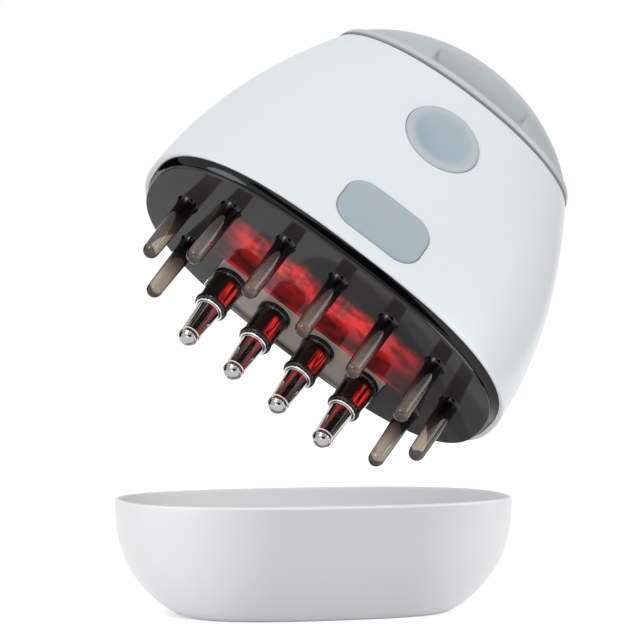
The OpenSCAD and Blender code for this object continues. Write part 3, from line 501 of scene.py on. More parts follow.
def smokyPlateMaterial():
    # dark see-through plastic, with the glow of the red lights inside it painted on as emission
    material, shader, place = handsetMaterial("smokyPlate")
    x, y, z = splitUp(place)
    soft, rearEdge = plateAndPaintedGlow["soft"], plateAndPaintedGlow["rear"]
    cloud = noiseAt(place, plateAndPaintedGlow["cloud"], Detail=3)
    drift = calc("MULTIPLY_ADD", cloud, plateAndPaintedGlow["drift"], -plateAndPaintedGlow["drift"] / 2)
    wavy = calc("ADD", y, drift)
    front = smoothStep(wavy, plateAndPaintedGlow["front"] - soft * 0.7, plateAndPaintedGlow["front"] + soft * 0.7)
    rear = smoothStep(y, rearEdge + plateAndPaintedGlow["rearSoft"], rearEdge)
    wide = calc("ABSOLUTE", calc("ADD", x, drift))
    ends = smoothStep(wide, plateAndPaintedGlow["halfLength"] + soft, plateAndPaintedGlow["halfLength"] - soft * 2)
    band = product(front, rear, ends)
    # the painted glow is bright over the diodes, dim behind them, with a thin bright line at the nozzle bar
    deep = smoothStep(wavy, plateAndPaintedGlow["middle"] + soft, plateAndPaintedGlow["middle"] - soft)
    line = smoothStep(y, rearEdge - plateAndPaintedGlow["lineFrom"], rearEdge - plateAndPaintedGlow["lineTo"])
    depth = calc("ADD", calc("MULTIPLY_ADD", deep, plateAndPaintedGlow["bright"], plateAndPaintedGlow["dim"]),
                 calc("MULTIPLY", line, plateAndPaintedGlow["line"]))
    wave = calc("COSINE", calc("MULTIPLY", x, 2 * math.pi / plateAndPaintedGlow["spotPitch"]))
    spots = calc("MULTIPLY_ADD", wave, plateAndPaintedGlow["spotRange"], 1 - plateAndPaintedGlow["spotRange"])
    speckle = noiseAt(stretched(place, (0.8, 1.2, 1)), plateAndPaintedGlow["speckle"], Detail=2.5, Roughness=0.5)
    mottled = calc("MULTIPLY_ADD", smoothStep(speckle, 0.36, 0.6), plateAndPaintedGlow["speckleRange"],
                   1 - plateAndPaintedGlow["speckleRange"])
    offCentre = calc("ABSOLUTE", calc("SUBTRACT", x, plateAndPaintedGlow["centre"]))
    centre = calc("MULTIPLY_ADD", smoothStep(offCentre, plateAndPaintedGlow["centreFrom"], plateAndPaintedGlow["centreTo"]),
                  plateAndPaintedGlow["centreRange"], 1 - plateAndPaintedGlow["centreRange"])
    light = colourRamp(product(band, spots, mottled, depth, centre), plateAndPaintedGlow["stops"])
    # darker on the stepped side, and darker under the painted glow
    side = smoothStep(z, plateAndPaintedGlow["sideFrom"], plateAndPaintedGlow["sideTo"])
    dark = calc("MAXIMUM", side, calc("MULTIPLY", band, plateAndPaintedGlow["shade"]))
    wearSkin(shader, stackTones(plateAndPaintedGlow["face"], ((dark, plateAndPaintedGlow["side"]),)), 0.07, 0.25, 400, 0.01)
    # painted light: the red glow goes on the plate as emission
    plugIn(shader, {"Emission Color": light, "Emission Strength": plateAndPaintedGlow["strength"],
                          "Specular IOR Level": 0.32, "IOR": 1.5})
    return material


# the outline colour is painted shade along the teeth's edges
smokeAndPaintedEdgeShade = {
    "stops": ((0.0, "#0c0a0a"), (0.26, "#1f1817"), (0.46, "#6c5c55"), (0.68, "#a99b8c"), (0.93, "#a99c8c"),
              (1.0, "#463e38")),
    "outline": "#1d1715", "outlineFrom": 0.33, "outlineTo": 0.74, "transmission": 0.8,
}


def smokyToothMaterial():
    # see-through smoke with painted shade along its outline, dark at the root and lighter towards the tip
    material, shader, place = handsetMaterial("smokyTooth")
    down = calc("MULTIPLY", splitUp(place)["Z"], -1000 / teeth["Length"], clamp=True)
    body = colourRamp(down, [(position, linear(colour)) for position, colour in smokeAndPaintedEdgeShade["stops"]])
    # painted shade: edges turned away from view are darkened for the dark that refraction shows there
    edge = addNode(shader.id_data, "ShaderNodeLayerWeight", {"Blend": 0.5}).outputs["Facing"]
    outline = smoothStep(edge, smokeAndPaintedEdgeShade["outlineFrom"], smokeAndPaintedEdgeShade["outlineTo"])
    plugIn(shader, {
        "Base Color": stackTones(body, ((outline, smokeAndPaintedEdgeShade["outline"]),)),
        "Roughness": calc("MULTIPLY_ADD", noiseAt(place, 700), 0.08, 0.02),
        "Transmission Weight": smokeAndPaintedEdgeShade["transmission"], "IOR": 1.46,
    })
    return material


# angles in degrees, heights in millimetres
collarSleeveAndPaintedReflection = {
    "angle": -66.0, "spread": 30.0, "top": -1.6, "foot": -8.3, "soft": 1.4, "footSoft": 0.4, "streaks": 2600,
    "strength": 0.9, "stops": ((0.0, (0, 0, 0, 1)), (1.0, (0.8, 0.02, 0.015, 1))), "sleeve": "#161313",
}


def smokyCollarMaterial():
    # nearly black sleeves with a painted reflection of the red glow, as emission streaks on the side towards the
    # teeth
    material, shader, place = handsetMaterial("smokyCollar")
    x, y, z = splitUp(place)
    half = pins["pitch"] * 0.001 / 2
    across = calc("WRAP", calc("ADD", x, half), half, -half)
    along = calc("SUBTRACT", y, pins["y"] * 0.001)
    turn = calc("SUBTRACT", calc("ARCTAN2", along, across), math.radians(collarSleeveAndPaintedReflection["angle"]))
    spread = math.radians(collarSleeveAndPaintedReflection["spread"])
    window = smoothStep(calc("ABSOLUTE", turn), spread, spread * 0.35)
    top, foot = collarSleeveAndPaintedReflection["top"], collarSleeveAndPaintedReflection["foot"]
    below = smoothStep(z, top * 0.001, (top - collarSleeveAndPaintedReflection["soft"]) * 0.001)
    above = smoothStep(z, foot * 0.001, (foot + collarSleeveAndPaintedReflection["footSoft"]) * 0.001)
    streaks = noiseAt(stretched(place, (1, 1, 0.06)), collarSleeveAndPaintedReflection["streaks"], Detail=2)
    # painted reflection: where the red streaks show on each sleeve
    level = product(window, smoothStep(streaks, 0.4, 0.6), below, above)
    wearSkin(shader, collarSleeveAndPaintedReflection["sleeve"], 0.06, 0.3, 500, 0.02)
    plugIn(shader, {"Emission Color": colourRamp(level, collarSleeveAndPaintedReflection["stops"]),
                          "Emission Strength": collarSleeveAndPaintedReflection["strength"], "Specular IOR Level": 0.45})
    return material


lidTonesAndPaintedLight = {"dome": "#b3babb", "recess": "#a3acac", "rim": "#bfc6c7", "seam": "#7e8687", "shadeHeight": 0.011}


def lidMaterial():
    # painted shade low in the finger recess, a painted highlight on the rim, and dark along the seam
    material, shader, place = handsetMaterial("lidGrey")
    x, y, z = splitUp(place)
    half, floor = lid["recessHalf"] * 0.001, (shell["height"] + lid["recessUp"]) * 0.001
    wall = (-shell["seamHalfWidth"] + lid["recessDeep"] + lid["bandOut"]) * 0.001
    foot = (shell["height"] + lid["seamGap"]) * 0.001
    # painted shade in the lower part of the finger recess
    recess = product(smoothStep(calc("ABSOLUTE", x), half + 0.0006, half + 0.0004),
                     smoothStep(y, wall + 0.0002, wall + 0.0001), smoothStep(z, floor - 0.0001, floor),
                     smoothStep(z, floor + lidTonesAndPaintedLight["shadeHeight"], floor + 0.001))
    # painted highlight along the rim band
    rim = product(smoothStep(z, foot + 0.0008, foot + 0.0012),
                  smoothStep(z, foot + 0.0024, foot + 0.002))
    seam = smoothStep(z, foot + 0.0007, foot + 0.0004)
    layers = ((recess, lidTonesAndPaintedLight["recess"]), (rim, lidTonesAndPaintedLight["rim"]), (seam, lidTonesAndPaintedLight["seam"]))
    wearSkin(shader, stackTones(lidTonesAndPaintedLight["dome"], layers), 0.36, 0.03, bump=0.06)
    return material


barTones = {"tray": "#c2b8ab", "lip": "#3f3a36", "transmission": 0.35}


def barMaterial():
    # see-through beige tray with a dark lip along the back
    material, shader, place = handsetMaterial("smokyBar")
    edge = (plate["halfWidth"] - bar["lipWidth"]) * 0.001
    lip = smoothStep(splitUp(place)["Y"], edge - 0.0002, edge + 0.0001)
    wearSkin(shader, stackTones(barTones["tray"], ((lip, barTones["lip"]),)), 0.05, 0.06, 500, 0.01)
    plugIn(shader, {"Transmission Weight": barTones["transmission"], "IOR": 1.46})
    return material


def buttonMaterial(name, top, bottom, low, high, ring=None):
    # a little bluer towards the lower edge; a ring's colour lies round the dish of the power button
    material, shader, place = handsetMaterial(name)
    layers = [(smoothStep(splitUp(place)["Z"], low * 0.001, high * 0.001), top)]
    if ring:
        flat = flattened(placeIn(shader.id_data, intoPlace @ frontMatrix(power["z"])))
        reach = vectorMath("LENGTH", flat)["Value"]
        layers.append((smoothStep(reach, power["dish"] * 0.00042, power["dish"] * 0.00055), ring))
    wearSkin(shader, stackTones(bottom, layers), 0.34, 0.03, grain=1100)
    return material


# the ends, inside and rim tones are painted light on the cap
frostAndPaintedLight = {"middle": "#c9c9cd", "ends": "#ececee", "inside": "#f3f3f4", "rim": "#f6f6f7", "rimHeight": 0.0009,
         "scatter": 0.35, "depth": 0.004, "sheen": 0.35, "sheenRoughness": 0.4}


def frostedMaterial():
    # thin frosted plastic with painted light: its colour is lighter at its ends, at its rim and inside, for light
    # passing through it
    material, shader = newMaterial("frostedCap")
    where = addNode(shader.id_data, "ShaderNodeTexCoord").outputs
    split = splitUp(where["Object"])
    outward = vectorMath("DOT_PRODUCT", flattened(where["Object"]), where["Normal"])["Value"]
    inside = smoothStep(outward, 0.001, -0.001)
    reach, height = plate["halfLength"] * 0.001, dustCap["height"] * 0.001
    ends = smoothStep(calc("ABSOLUTE", split["X"]), reach * 0.3, reach * 0.95)
    rim = smoothStep(split["Z"], height - frostAndPaintedLight["rimHeight"], height - frostAndPaintedLight["rimHeight"] / 3)
    # painted light: lighter colour at the ends, inside and rim
    layers = ((ends, frostAndPaintedLight["ends"]), (inside, frostAndPaintedLight["inside"]), (rim, frostAndPaintedLight["rim"]))
    wearSkin(shader, stackTones(frostAndPaintedLight["middle"], layers), 0.34, 0.015)
    plugIn(shader, {
        "Subsurface Weight": frostAndPaintedLight["scatter"], "Subsurface Radius": (1, 1, 1), "Subsurface Scale": frostAndPaintedLight["depth"],
        "Sheen Weight": frostAndPaintedLight["sheen"], "Sheen Roughness": frostAndPaintedLight["sheenRoughness"],
    })
    return material


finishes = {
    "shell": moulded("shellWhite", "#dee3e6", 0.3, 0.015),
    "lid": lidMaterial(),
    "power": buttonMaterial("powerGrey", "#a3b1b6", "#9badbe", 42, 57, ring="#b3bbbe"),
    "dose": buttonMaterial("doseGrey", "#a5b2b4", "#9eacb4", 6, 24),
    "plate": smokyPlateMaterial(),
    "tooth": smokyToothMaterial(),
    "bar": barMaterial(),
    "collar": smokyCollarMaterial(),
    "chrome": metal("polishedRing", "#e4e3e2", 0.05, depth=0.04),
    "pin": metal("polishedPin", "#c6c3c1", 0.03, depth=0.04),
    "ball": metal("polishedBall", "#a9a7a5", 0.03, depth=0.0),
    "dustCap": frostedMaterial(),
}
print("materials made:", len(bpy.data.materials))


def makeShell():
    foot, seam = plate["stepHeight"], shell["height"]
    levels, innerLevels, rounding, deep = (
        shell[name] for name in ("levels", "innerLevels", "edgeRound", "cutDepth"))
    outer = [shellRing(foot + rounding * (1 - math.cos(a)), rounding * (1 - math.sin(a)))
             for a in angles(0, 90, 15)]
    outer += [shellRing(foot + rounding + (seam - foot - rounding - 0.25) * i / levels) for i in range(levels + 1)]
    outer += [shellRing(seam - 0.08, 0.07), shellRing(seam, 0.25)]
    inner = [shellRing(seam - (seam - foot) * i / innerLevels, shell["wall"]) for i in range(innerLevels + 1)]
    body = loftMesh("shellBody", outer + inner, joinEnds=True)
    hole = power["diameter"] / 2 + power["gap"]
    powerCut = turnedMesh("powerCut", [(0, -deep), (hole, -deep), (hole, deep), (0, deep)], count=128)
    powerCut.transform(frontMatrix(power["z"]))
    length, width = dose["length"] + 2 * dose["gap"], dose["width"] + 2 * dose["gap"]
    corner = dose["corner"] + dose["gap"]
    doseCut = loftMesh("doseCut", [roundedRectangle(length, width, corner, z) for z in (-deep, deep)])
    doseCut.transform(frontMatrix(dose["z"]))
    low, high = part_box("charge_socket")
    mouth = placed.inverted() @ ((low + high) / 2) * 1000
    length, width, corner, deep, out = socketMouth.values()
    slot = loftMesh("slotCut", [roundedRectangle(length, width, corner, z) for z in (-deep, deep)])
    slot.transform(Matrix.Translation((0, mouth.y + out, mouth.z)) @ Matrix.Rotation(math.radians(90), 4, "X"))
    piece = newPiece("shellSkin", cutMesh(body, [powerCut, doseCut, slot], "shell"), finishes["shell"], "handset")
    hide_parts("outer_shell")


def recessMesh(deep):
    # a block with rounded lower corners, whose ends flare a little towards the front
    floor = shell["height"] + lid["recessUp"]
    rings = []
    backPlane = -shell["seamHalfWidth"] + deep
    corner = lid["recessCorner"]
    for y, flare in ((-30, 0.5), (backPlane - 1.6, 0.5), (backPlane - 0.8, 0.12), (backPlane - 0.25, 0.0),
                     (backPlane, -0.12)):
        half = lid["recessHalf"] + flare
        outline = [(half, floor + 30), (-half, floor + 30)]
        outline += [(-half + corner - corner * math.cos(a), floor + corner - corner * math.sin(a))
                    for a in angles(0, 91, 10)]
        outline += [(half - corner + corner * math.sin(a), floor + corner - corner * math.cos(a))
                    for a in angles(0, 91, 10)]
        rings.append([(x, y, z) for x, z in outline])
    return loftMesh("recess", rings)


def makeLid():
    seam = shell["height"]
    foot, band = seam + lid["seamGap"], lid["bandHeight"]
    domeSteps, hollowSteps = lid["domeSteps"], lid["hollowSteps"]
    rings = [lidRing(0, 0.6, foot), lidRing(0, 0.25, foot + 0.12), lidRing(0, 0.08, foot + 0.35),
             lidRing(0, 0, foot + 0.7)]
    rings += [lidRing(0.06 * i / 4, 0, foot + 0.7 + (band - 1.1) * i / 4) for i in range(1, 5)]
    rings += [lidRing(0.068, 0.12, foot + band - 0.15, endInset=0.03), lidRing(0.08, 0.3, foot + band, endInset=0.05)]
    start = (foot + band - seam) / lid["height"]
    for i in range(1, domeSteps + 1):
        angle = math.pi / 2 * i / domeSteps
        t = start + (0.9995 - start) * math.sin(angle)
        rings.append(lidRing(t, lid["bandOut"], endInset=0.05))
    dome = loftMesh("lidDome", rings)
    thick = lid["wall"] + lid["bandOut"]
    hollow = [lidRing(0, thick, foot - 1)]
    hollow += [lidRing(0.99 * math.sin(math.pi / 2 * i / hollowSteps), thick) for i in range(1, hollowSteps + 1)]
    # the recess keeps a wall of its own behind it
    deep = lid["recessDeep"] + lid["bandOut"]
    wallBack = lid["wall"] * 0.8
    keep = boxMesh((-lid["recessHalf"] - wallBack, -40, seam + lid["recessUp"] - wallBack),
                   (lid["recessHalf"] + wallBack, -shell["seamHalfWidth"] + deep + wallBack,
                    seam + 2 * lid["height"]), "keep")
    hollowMesh = cutMesh(loftMesh("lidHollow", hollow), [keep], "hollow")
    top = cutMesh(dome, [hollowMesh, recessMesh(deep)], "dome")
    gap = shell["wall"] + plate["fitGap"]
    inner = gap + plate["skirtWall"]
    skirtFoot, skirtTop = seam - lid["skirt"], seam + 1.2
    skirt = [shellRing(seam, inset, z) for inset, z in (
        (gap + 0.2, skirtFoot), (gap, skirtFoot + 0.2), (gap, skirtTop), (inner, skirtTop), (inner, skirtFoot))]
    collar = loftMesh("lidCollar", skirt, joinEnds=True)
    radius, low, high = lid["postRadius"], lid["postFoot"], lid["postTop"]
    post = turnedMesh("lidPost", [(0, low), (radius, low), (radius, high), (0, high)], count=48)
    post.transform(Matrix.Translation((0, lid["postY"], 0)))
    piece = newPiece("lidSkin", joinMeshes([top, collar, post], "lidSkin"), finishes["lid"], "lid")
    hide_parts("lid")


def makePowerButton():
    radius, dish = power["diameter"] / 2, power["dish"] / 2
    proud, depth, rimRound, steps = (power[name] for name in ("proud", "dishDeep", "rimRound", "dishSteps"))
    back, stem, foot = shell["flangeBack"], power["stemRadius"], power["stemFoot"]
    profile = [(0, foot), (stem, foot), (stem, -back - 1), (radius + 1, -back - 1), (radius + 1, -back),
               (radius, -back), (radius, proud - rimRound)]
    profile += [(radius - rimRound * (1 - math.cos(a)), proud - rimRound + rimRound * math.sin(a))
                for a in angles(15, 91, 15)]
    # a soft bevel leads from the rim down into the dish
    crest = radius - rimRound
    for i in range(1, steps + 1):
        t = i / steps
        sink = clamp01((crest * t - (crest - dish) * 0.35) / dish)
        profile.append((crest * (1 - t), proud - depth * math.sin(math.pi / 2 * sink) ** 1.3))
    mesh = turnedMesh("powerCap", profile, count=128)
    mesh.transform(frontMatrix(power["z"]))
    piece = newPiece("powerCap", mesh, finishes["power"], "power_button")
    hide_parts("power_button")


def makeDoseButton():
    back, steps = shell["flangeBack"], dose["pillowSteps"]
    length, width, corner, proud, edge = (dose[name] for name in ("length", "width", "corner", "proud", "edge"))
    rings = [roundedRectangle(length + 2.4, width + 1.6, corner + 0.8, z) for z in (-back - 1, -back)]
    rings += [roundedRectangle(length, width, corner, z) for z in (-back, proud - edge)]
    for angle in angles(12, 91, 13):
        inset = edge * (1 - math.cos(angle))
        rings.append(roundedRectangle(length - 2 * inset, width - 2 * inset, corner - inset,
                                      proud - edge + edge * math.sin(angle)))
    # the top is a low pillow
    for i in range(1, steps + 1):
        t = i / steps
        inset = edge + (width / 2 - 0.9) * t
        rings.append(roundedRectangle(length - 2 * inset, width - 2 * inset,
                                      max(0.05, corner - inset * 0.85) * (1 - t) + 0.05,
                                      proud + dose["pillow"] * (1 - (1 - t) ** 2)))
    mesh = loftMesh("doseCap", rings)
    mesh.transform(frontMatrix(dose["z"]))
    piece = newPiece("doseCap", mesh, finishes["dose"], "dose_button")
    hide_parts("dose_button")


def makePlate():
    height = plate["stepHeight"]
    rings = bevelRings(plate["bevel"])
    rings += [plateRing(0.8), plateRing(0.86, 0.14), plateRing(1.0, 0.14), plateRing(1.06)]
    rings += [plateRing(1.06 + (height - 1.4) * i / 8) for i in range(1, 9)]
    slab = loftMesh("plateSlab", rings + stepRings())
    notch = boxMesh((-plate["notchHalf"], plate["notchFront"], -1), (plate["notchHalf"], 60, 12), "notch")
    inside = loftMesh("plateInside", [plateRing(height, 2.2), [(x, y, 9) for x, y, z in plateRing(height, 2.2)]])
    inside.transform(Matrix.Translation((0, 0, plate["thick"] - height)))
    slab = cutMesh(slab, [notch, inside], "plate")
    outside, top = shell["wall"] + plate["fitGap"], plate["skirtTop"]
    inner = outside + plate["skirtWall"]
    skirt = [shellRing(top, inset, z)
             for inset, z in ((outside, height), (outside, top), (inner, top), (inner, height))]
    room = loftMesh("doseRoom", [roundedRectangle(dose["length"] + 3.4, dose["width"] + 2.6, dose["corner"] + 1.3, z)
                                 for z in (-6.1, -2.3)])
    room.transform(frontMatrix(dose["z"]))
    skirtMesh = cutMesh(loftMesh("skirt", skirt, joinEnds=True), [notch, room], "skirt")
    piece = newPiece("combSlab", joinMeshes([slab, skirtMesh], "combSlab"), finishes["plate"], "handset")
    return piece


def vectorNode(*values):
    return addNode(treeOf(values), "ShaderNodeCombineXYZ", dict(enumerate(values))).outputs[0]


def finishTree(points, shape, material, out):
    # puts the shape on every point, as one plain mesh in its material
    tree = out.id_data
    spread = addNode(tree, "GeometryNodeInstanceOnPoints", {"Points": points, "Instance": shape})
    real = addNode(tree, "GeometryNodeRealizeInstances", {0: spread.outputs[0]})
    merge = addNode(tree, "GeometryNodeMergeByDistance", {0: real.outputs[0], "Distance": mergeDistance})
    paint = addNode(tree, "GeometryNodeSetMaterial", {"Geometry": merge.outputs[0], "Material": material})
    plugIn(out, {0: paint.outputs[0]})


toothSteps = {"count": 5, "along": 64, "around": 40, "sunk": 0.6, "stretch": 1.0326, "ease": 1.9, "fillet": 1.1,
              "filletFade": -1.5}


def toothTree():
    # a row of round-tipped teeth on a bowed line, and a pair at each end
    takes = dict({label: "Float" for label in teeth}, Material="Material")
    tree, given, out = newTree("combTeeth", "GeometryNodeTree", takes, {"Geometry": "Geometry"})

    # where the front row stands
    split = splitUp(addNode(tree, "GeometryNodeInputPosition").outputs[0])
    first = calc("MULTIPLY", given["Pitch"], (1 - toothSteps["count"]) / 2)
    row = addNode(tree, "GeometryNodeMeshLine", {
        "Count": toothSteps["count"], "Start Location": vectorNode(first),
        "Offset": vectorNode(given["Pitch"])})
    share = calc("DIVIDE", split["X"], first)
    bowed = calc("MULTIPLY_ADD", calc("MULTIPLY", share, share), given["Bow"], given["Row Y"])
    points = addNode(tree, "GeometryNodeJoinGeometry", {0: addNode(tree, "GeometryNodeSetPosition", {
        "Geometry": row.outputs[0], "Position": vectorNode(split["X"], bowed)}).outputs[0]})
    for side in (-1.0, 1.0):
        pair = addNode(tree, "GeometryNodeMeshLine", {
            "Count": 2, "Start Location": vectorNode(calc("MULTIPLY", given["Side X"], side), given["Side Y"]),
            "Offset": vectorNode(calc("MULTIPLY", given["Rear X"], side), given["Rear Y"])}, mode="END_POINTS")
        plugIn(points, {0: pair.outputs[0]})

    # one tooth: a line with more steps near its tip
    line = addNode(tree, "GeometryNodeCurvePrimitiveLine", {"End": (0, 0, -1)})
    many = addNode(tree, "GeometryNodeResampleCurve", {"Count": toothSteps["along"], "Curve": line.outputs[0]})
    along = addNode(tree, "GeometryNodeSplineParameter").outputs["Factor"]
    eased = calc("SUBTRACT", 1.0, calc("POWER", calc("SUBTRACT", 1.0, along), toothSteps["ease"]))
    reach = calc("MULTIPLY", calc("MULTIPLY", eased, given["Length"]), toothSteps["stretch"])
    down = vectorNode(0.0, 0.0, calc("SUBTRACT", toothSteps["sunk"], reach))
    move = addNode(tree, "GeometryNodeSetPosition", {"Geometry": many.outputs[0], "Position": down})
    # the sweep reads its radius on the moved line, so it is worked out from the height there
    reach = calc("DIVIDE", calc("SUBTRACT", toothSteps["sunk"], split["Z"]), toothSteps["stretch"])
    straight = calc("SUBTRACT", given["Length"], given["Tip Radius"])
    slim = calc("MULTIPLY_ADD", calc("SUBTRACT", given["Tip Radius"], given["Root Radius"]),
                calc("DIVIDE", reach, straight), given["Root Radius"])
    past = calc("DIVIDE", calc("SUBTRACT", reach, straight), given["Tip Radius"])
    past = calc("MINIMUM", calc("MAXIMUM", past, 0.0), 1.0)
    tip = calc("SQRT", calc("MAXIMUM", calc("SUBTRACT", 1.0, calc("MULTIPLY", past, past)), 0.0))
    fillet = calc("MULTIPLY", calc("EXPONENT", calc("MULTIPLY", reach, toothSteps["filletFade"])),
                  toothSteps["fillet"])
    radius = calc("ADD", calc("MULTIPLY", slim, tip), fillet)
    circle = addNode(tree, "GeometryNodeCurvePrimitiveCircle", {"Resolution": toothSteps["around"], "Radius": 1.0})
    sweep = addNode(tree, "GeometryNodeCurveToMesh", {
        "Curve": move.outputs[0], "Scale": radius, "Profile Curve": circle.outputs[0], "Fill Caps": True})
    finishTree(points.outputs[0], sweep.outputs[0], given["Material"], out)
    return tree


def growTree(tree, name, values):
    # runs a node tree once and gives back its plain mesh
    thing = addObject(name, bpy.data.meshes.new(name))
    modifier = thing.modifiers.new("grow", "NODES")
    modifier.node_group = tree
    for item in tree.interface.items_tree:
        if item.in_out == "INPUT" and item.name in values:
            modifier[item.identifier] = values[item.name]
    mesh = evaluatedMesh(thing)
    bpy.data.objects.remove(thing)
    mesh.shade_smooth()
    mesh.set_sharp_from_angle(angle=math.radians(40))
    return mesh


def makeTeeth():
    mesh = growTree(toothTree(), "combTeeth", dict(teeth, Material=finishes["tooth"]))
    piece = newPiece("combTeeth", mesh, finishes["tooth"], "handset")
    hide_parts("comb_plate")
    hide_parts("comb_plate")


sweepRadius = 10.0


def turnedTree(name, profile):
    # a ring or sleeve turned from its outline, repeated along the row of pins
    takes = {"Count": "Int", "Pitch": "Float", "Row Y": "Float", "Material": "Material"}
    tree, given, out = newTree(name, "GeometryNodeTree", takes, {"Geometry": "Geometry"})
    # the outline is swept round a circle, where its own Y runs against the handset's Z
    outline = bpy.data.curves.new(name + "Outline", "CURVE")
    outline.dimensions = "3D"
    spline = outline.splines.new("POLY")
    spline.points.add(len(profile) - 1)
    for point, (radius, z) in zip(spline.points, profile):
        point.co = (radius - sweepRadius, -z, 0, 1)
    spline.use_cyclic_u = True
    holder = addObject(name + "Outline", outline)
    info = addNode(tree, "GeometryNodeObjectInfo", {"Object": holder})
    circle = addNode(tree, "GeometryNodeCurvePrimitiveCircle", {"Resolution": pins["around"], "Radius": sweepRadius})
    sweep = addNode(tree, "GeometryNodeCurveToMesh",
                    {"Curve": circle.outputs[0], "Profile Curve": info.outputs["Geometry"]})
    half = calc("MULTIPLY", calc("SUBTRACT", given["Count"], 1.0), -0.5)
    start = vectorNode(calc("MULTIPLY", half, given["Pitch"]), given["Row Y"])
    row = addNode(tree, "GeometryNodeMeshLine", {
        "Count": given["Count"], "Start Location": start, "Offset": vectorNode(given["Pitch"])})
    finishTree(row.outputs[0], sweep.outputs[0], given["Material"], out)
    return tree, holder


def collarOutline():
    outer, bore = pins["collarRadius"], pins["radius"] + pins["boreGap"]
    length = pins["collarLength"]
    points = [(bore, 0.8), (outer + 0.35, 0.8), (outer + 0.35, -0.15), (outer + 0.3, -0.32), (outer + 0.12, -0.42),
              (outer + 0.02, -0.6), (outer - 0.04, -1.2)]
    points += [(outer - 0.1, 1.7 - length), (outer - 0.02, 1.3 - length), (outer + 0.12, 0.95 - length),
               (outer + 0.16, 0.6 - length), (outer + 0.1, 0.25 - length), (outer - 0.08, 0.05 - length),
               (outer - 0.3, -length), (bore + 0.2, -length), (bore, 0.25 - length)]
    return points


def ringOutline():
    bore = pins["radius"] + pins["boreGap"]
    length = pins["collarLength"]
    centre, radius = bore + 0.28, 0.27
    return [(centre + radius * math.cos(a), -length - 0.26 + radius * math.sin(a)) for a in angles(0, 360, 30)]


def makeCollars():
    values = {"Count": pins["count"], "Pitch": pins["pitch"], "Row Y": pins["y"]}
    for name, outline, finish, node, slotName in (
            ("collarSleeves", collarOutline(), "collar", "pin_collars", "collar_black"),
            ("collarMouths", ringOutline(), "chrome", "collar_rings", "pin_chrome")):
        tree, holder = turnedTree(name, outline)
        mesh = growTree(tree, name, dict(values, Material=finishes[finish]))
        bpy.data.objects.remove(holder)
        piece = newPiece(name, joinMeshes([mesh], name, 35), finishes[finish], "handset")
        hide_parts(node)


def makeBar():
    rings = bevelRings(bar["bevel"])
    rings += [plateRing(z) for z in (1.0, 1.4, 1.8, 2.2, 2.6)]
    slab = loftMesh("barSlab", rings + stepRings())
    gap = plate["fitGap"]
    half, front = plate["notchHalf"] - gap, plate["notchFront"] + gap
    around = [boxMesh((-80, -60, -5), (80, front, 20), "front"), boxMesh((-80, -60, -5), (-half, 60, 20), "left"),
              boxMesh((half, -60, -5), (80, 60, 20), "right")]
    length, width = plate["halfLength"] - bar["lipWidth"], plate["halfWidth"] - bar["lipWidth"]
    inner = loftMesh("barFace", [oval(length, width, plate["roundness"], z, 256) for z in (-1, bar["sunk"])])
    face = cutMesh(slab, around + [inner], "bar")
    face = cutMesh(face, lathedCutters(pins["radius"] + bar["pinGap"], -5, 30), "barHoles")
    block = boxMesh((-half, bar["blockFront"], bar["blockFoot"]), (half, bar["blockBack"], bar["blockTop"]), "block")
    block = cutMesh(block, lathedCutters(bar["chamber"], 2, 30), "block")
    piece = newPiece("barSkin", joinMeshes([face, block], "barSkin"), finishes["bar"], "handset")
    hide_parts("nozzle_bar")


def makePins():
    radius, tip, drop, ball, hold = (pins[name] for name in (
        "radius", "tipRadius", "ballDrop", "ballRadius", "ballHold"))
    head, headTop, headFoot, channel = (pins[name] for name in ("headRadius", "headTop", "headFoot", "channel"))
    end, socket = drop + hold, ball + pins["ballGap"]
    mouth = math.sqrt(socket ** 2 - hold ** 2)
    wall = [(channel, headTop), (head, headTop), (head, headFoot), (radius, headFoot), (radius, -9.7),
            (radius - 0.04, -10.2),
            (tip + 0.05, 2.2 - end), (tip + 0.05, 1.5 - end), (tip - 0.06, 1.4 - end), (tip - 0.2, 1.3 - end),
            (tip - 0.2, 1.1 - end), (tip - 0.02, 1.0 - end), (tip, 0.9 - end), (tip, 0.3 - end),
            (tip - 0.05, 0.1 - end), (tip - 0.12, -end), (mouth, -end)]
    # the turned socket that holds the ball
    start, top = math.asin(-hold / socket), math.acos(channel / socket)
    steps = 16
    turns = [start + (top - start) * i / steps for i in range(1, steps + 1)]
    wall += [(socket * math.cos(a), -drop + socket * math.sin(a)) for a in turns]
    ballSteps = 40
    ballOutline = [(ball * math.sin(math.pi * i / ballSteps), -drop - ball * math.cos(math.pi * i / ballSteps))
                   for i in range(ballSteps + 1)]
    for i, place in enumerate(pinPlaces):
        for stem, outline, finish, slotName, closed in (("pin", wall, "pin", "pin_chrome", True),
                                                        ("ball", ballOutline, "ball", "ball_steel", False)):
            mesh = turnedMesh("%sSkin%d" % (stem, i + 1), outline, count=pins["around"], closed=closed)
            mesh.transform(Matrix.Translation(place))
            body = "%s_%d" % (stem, i + 1)
            piece = newPiece("%sSkin_%d" % (stem, i + 1), mesh, finishes[finish], body)
            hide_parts(body)


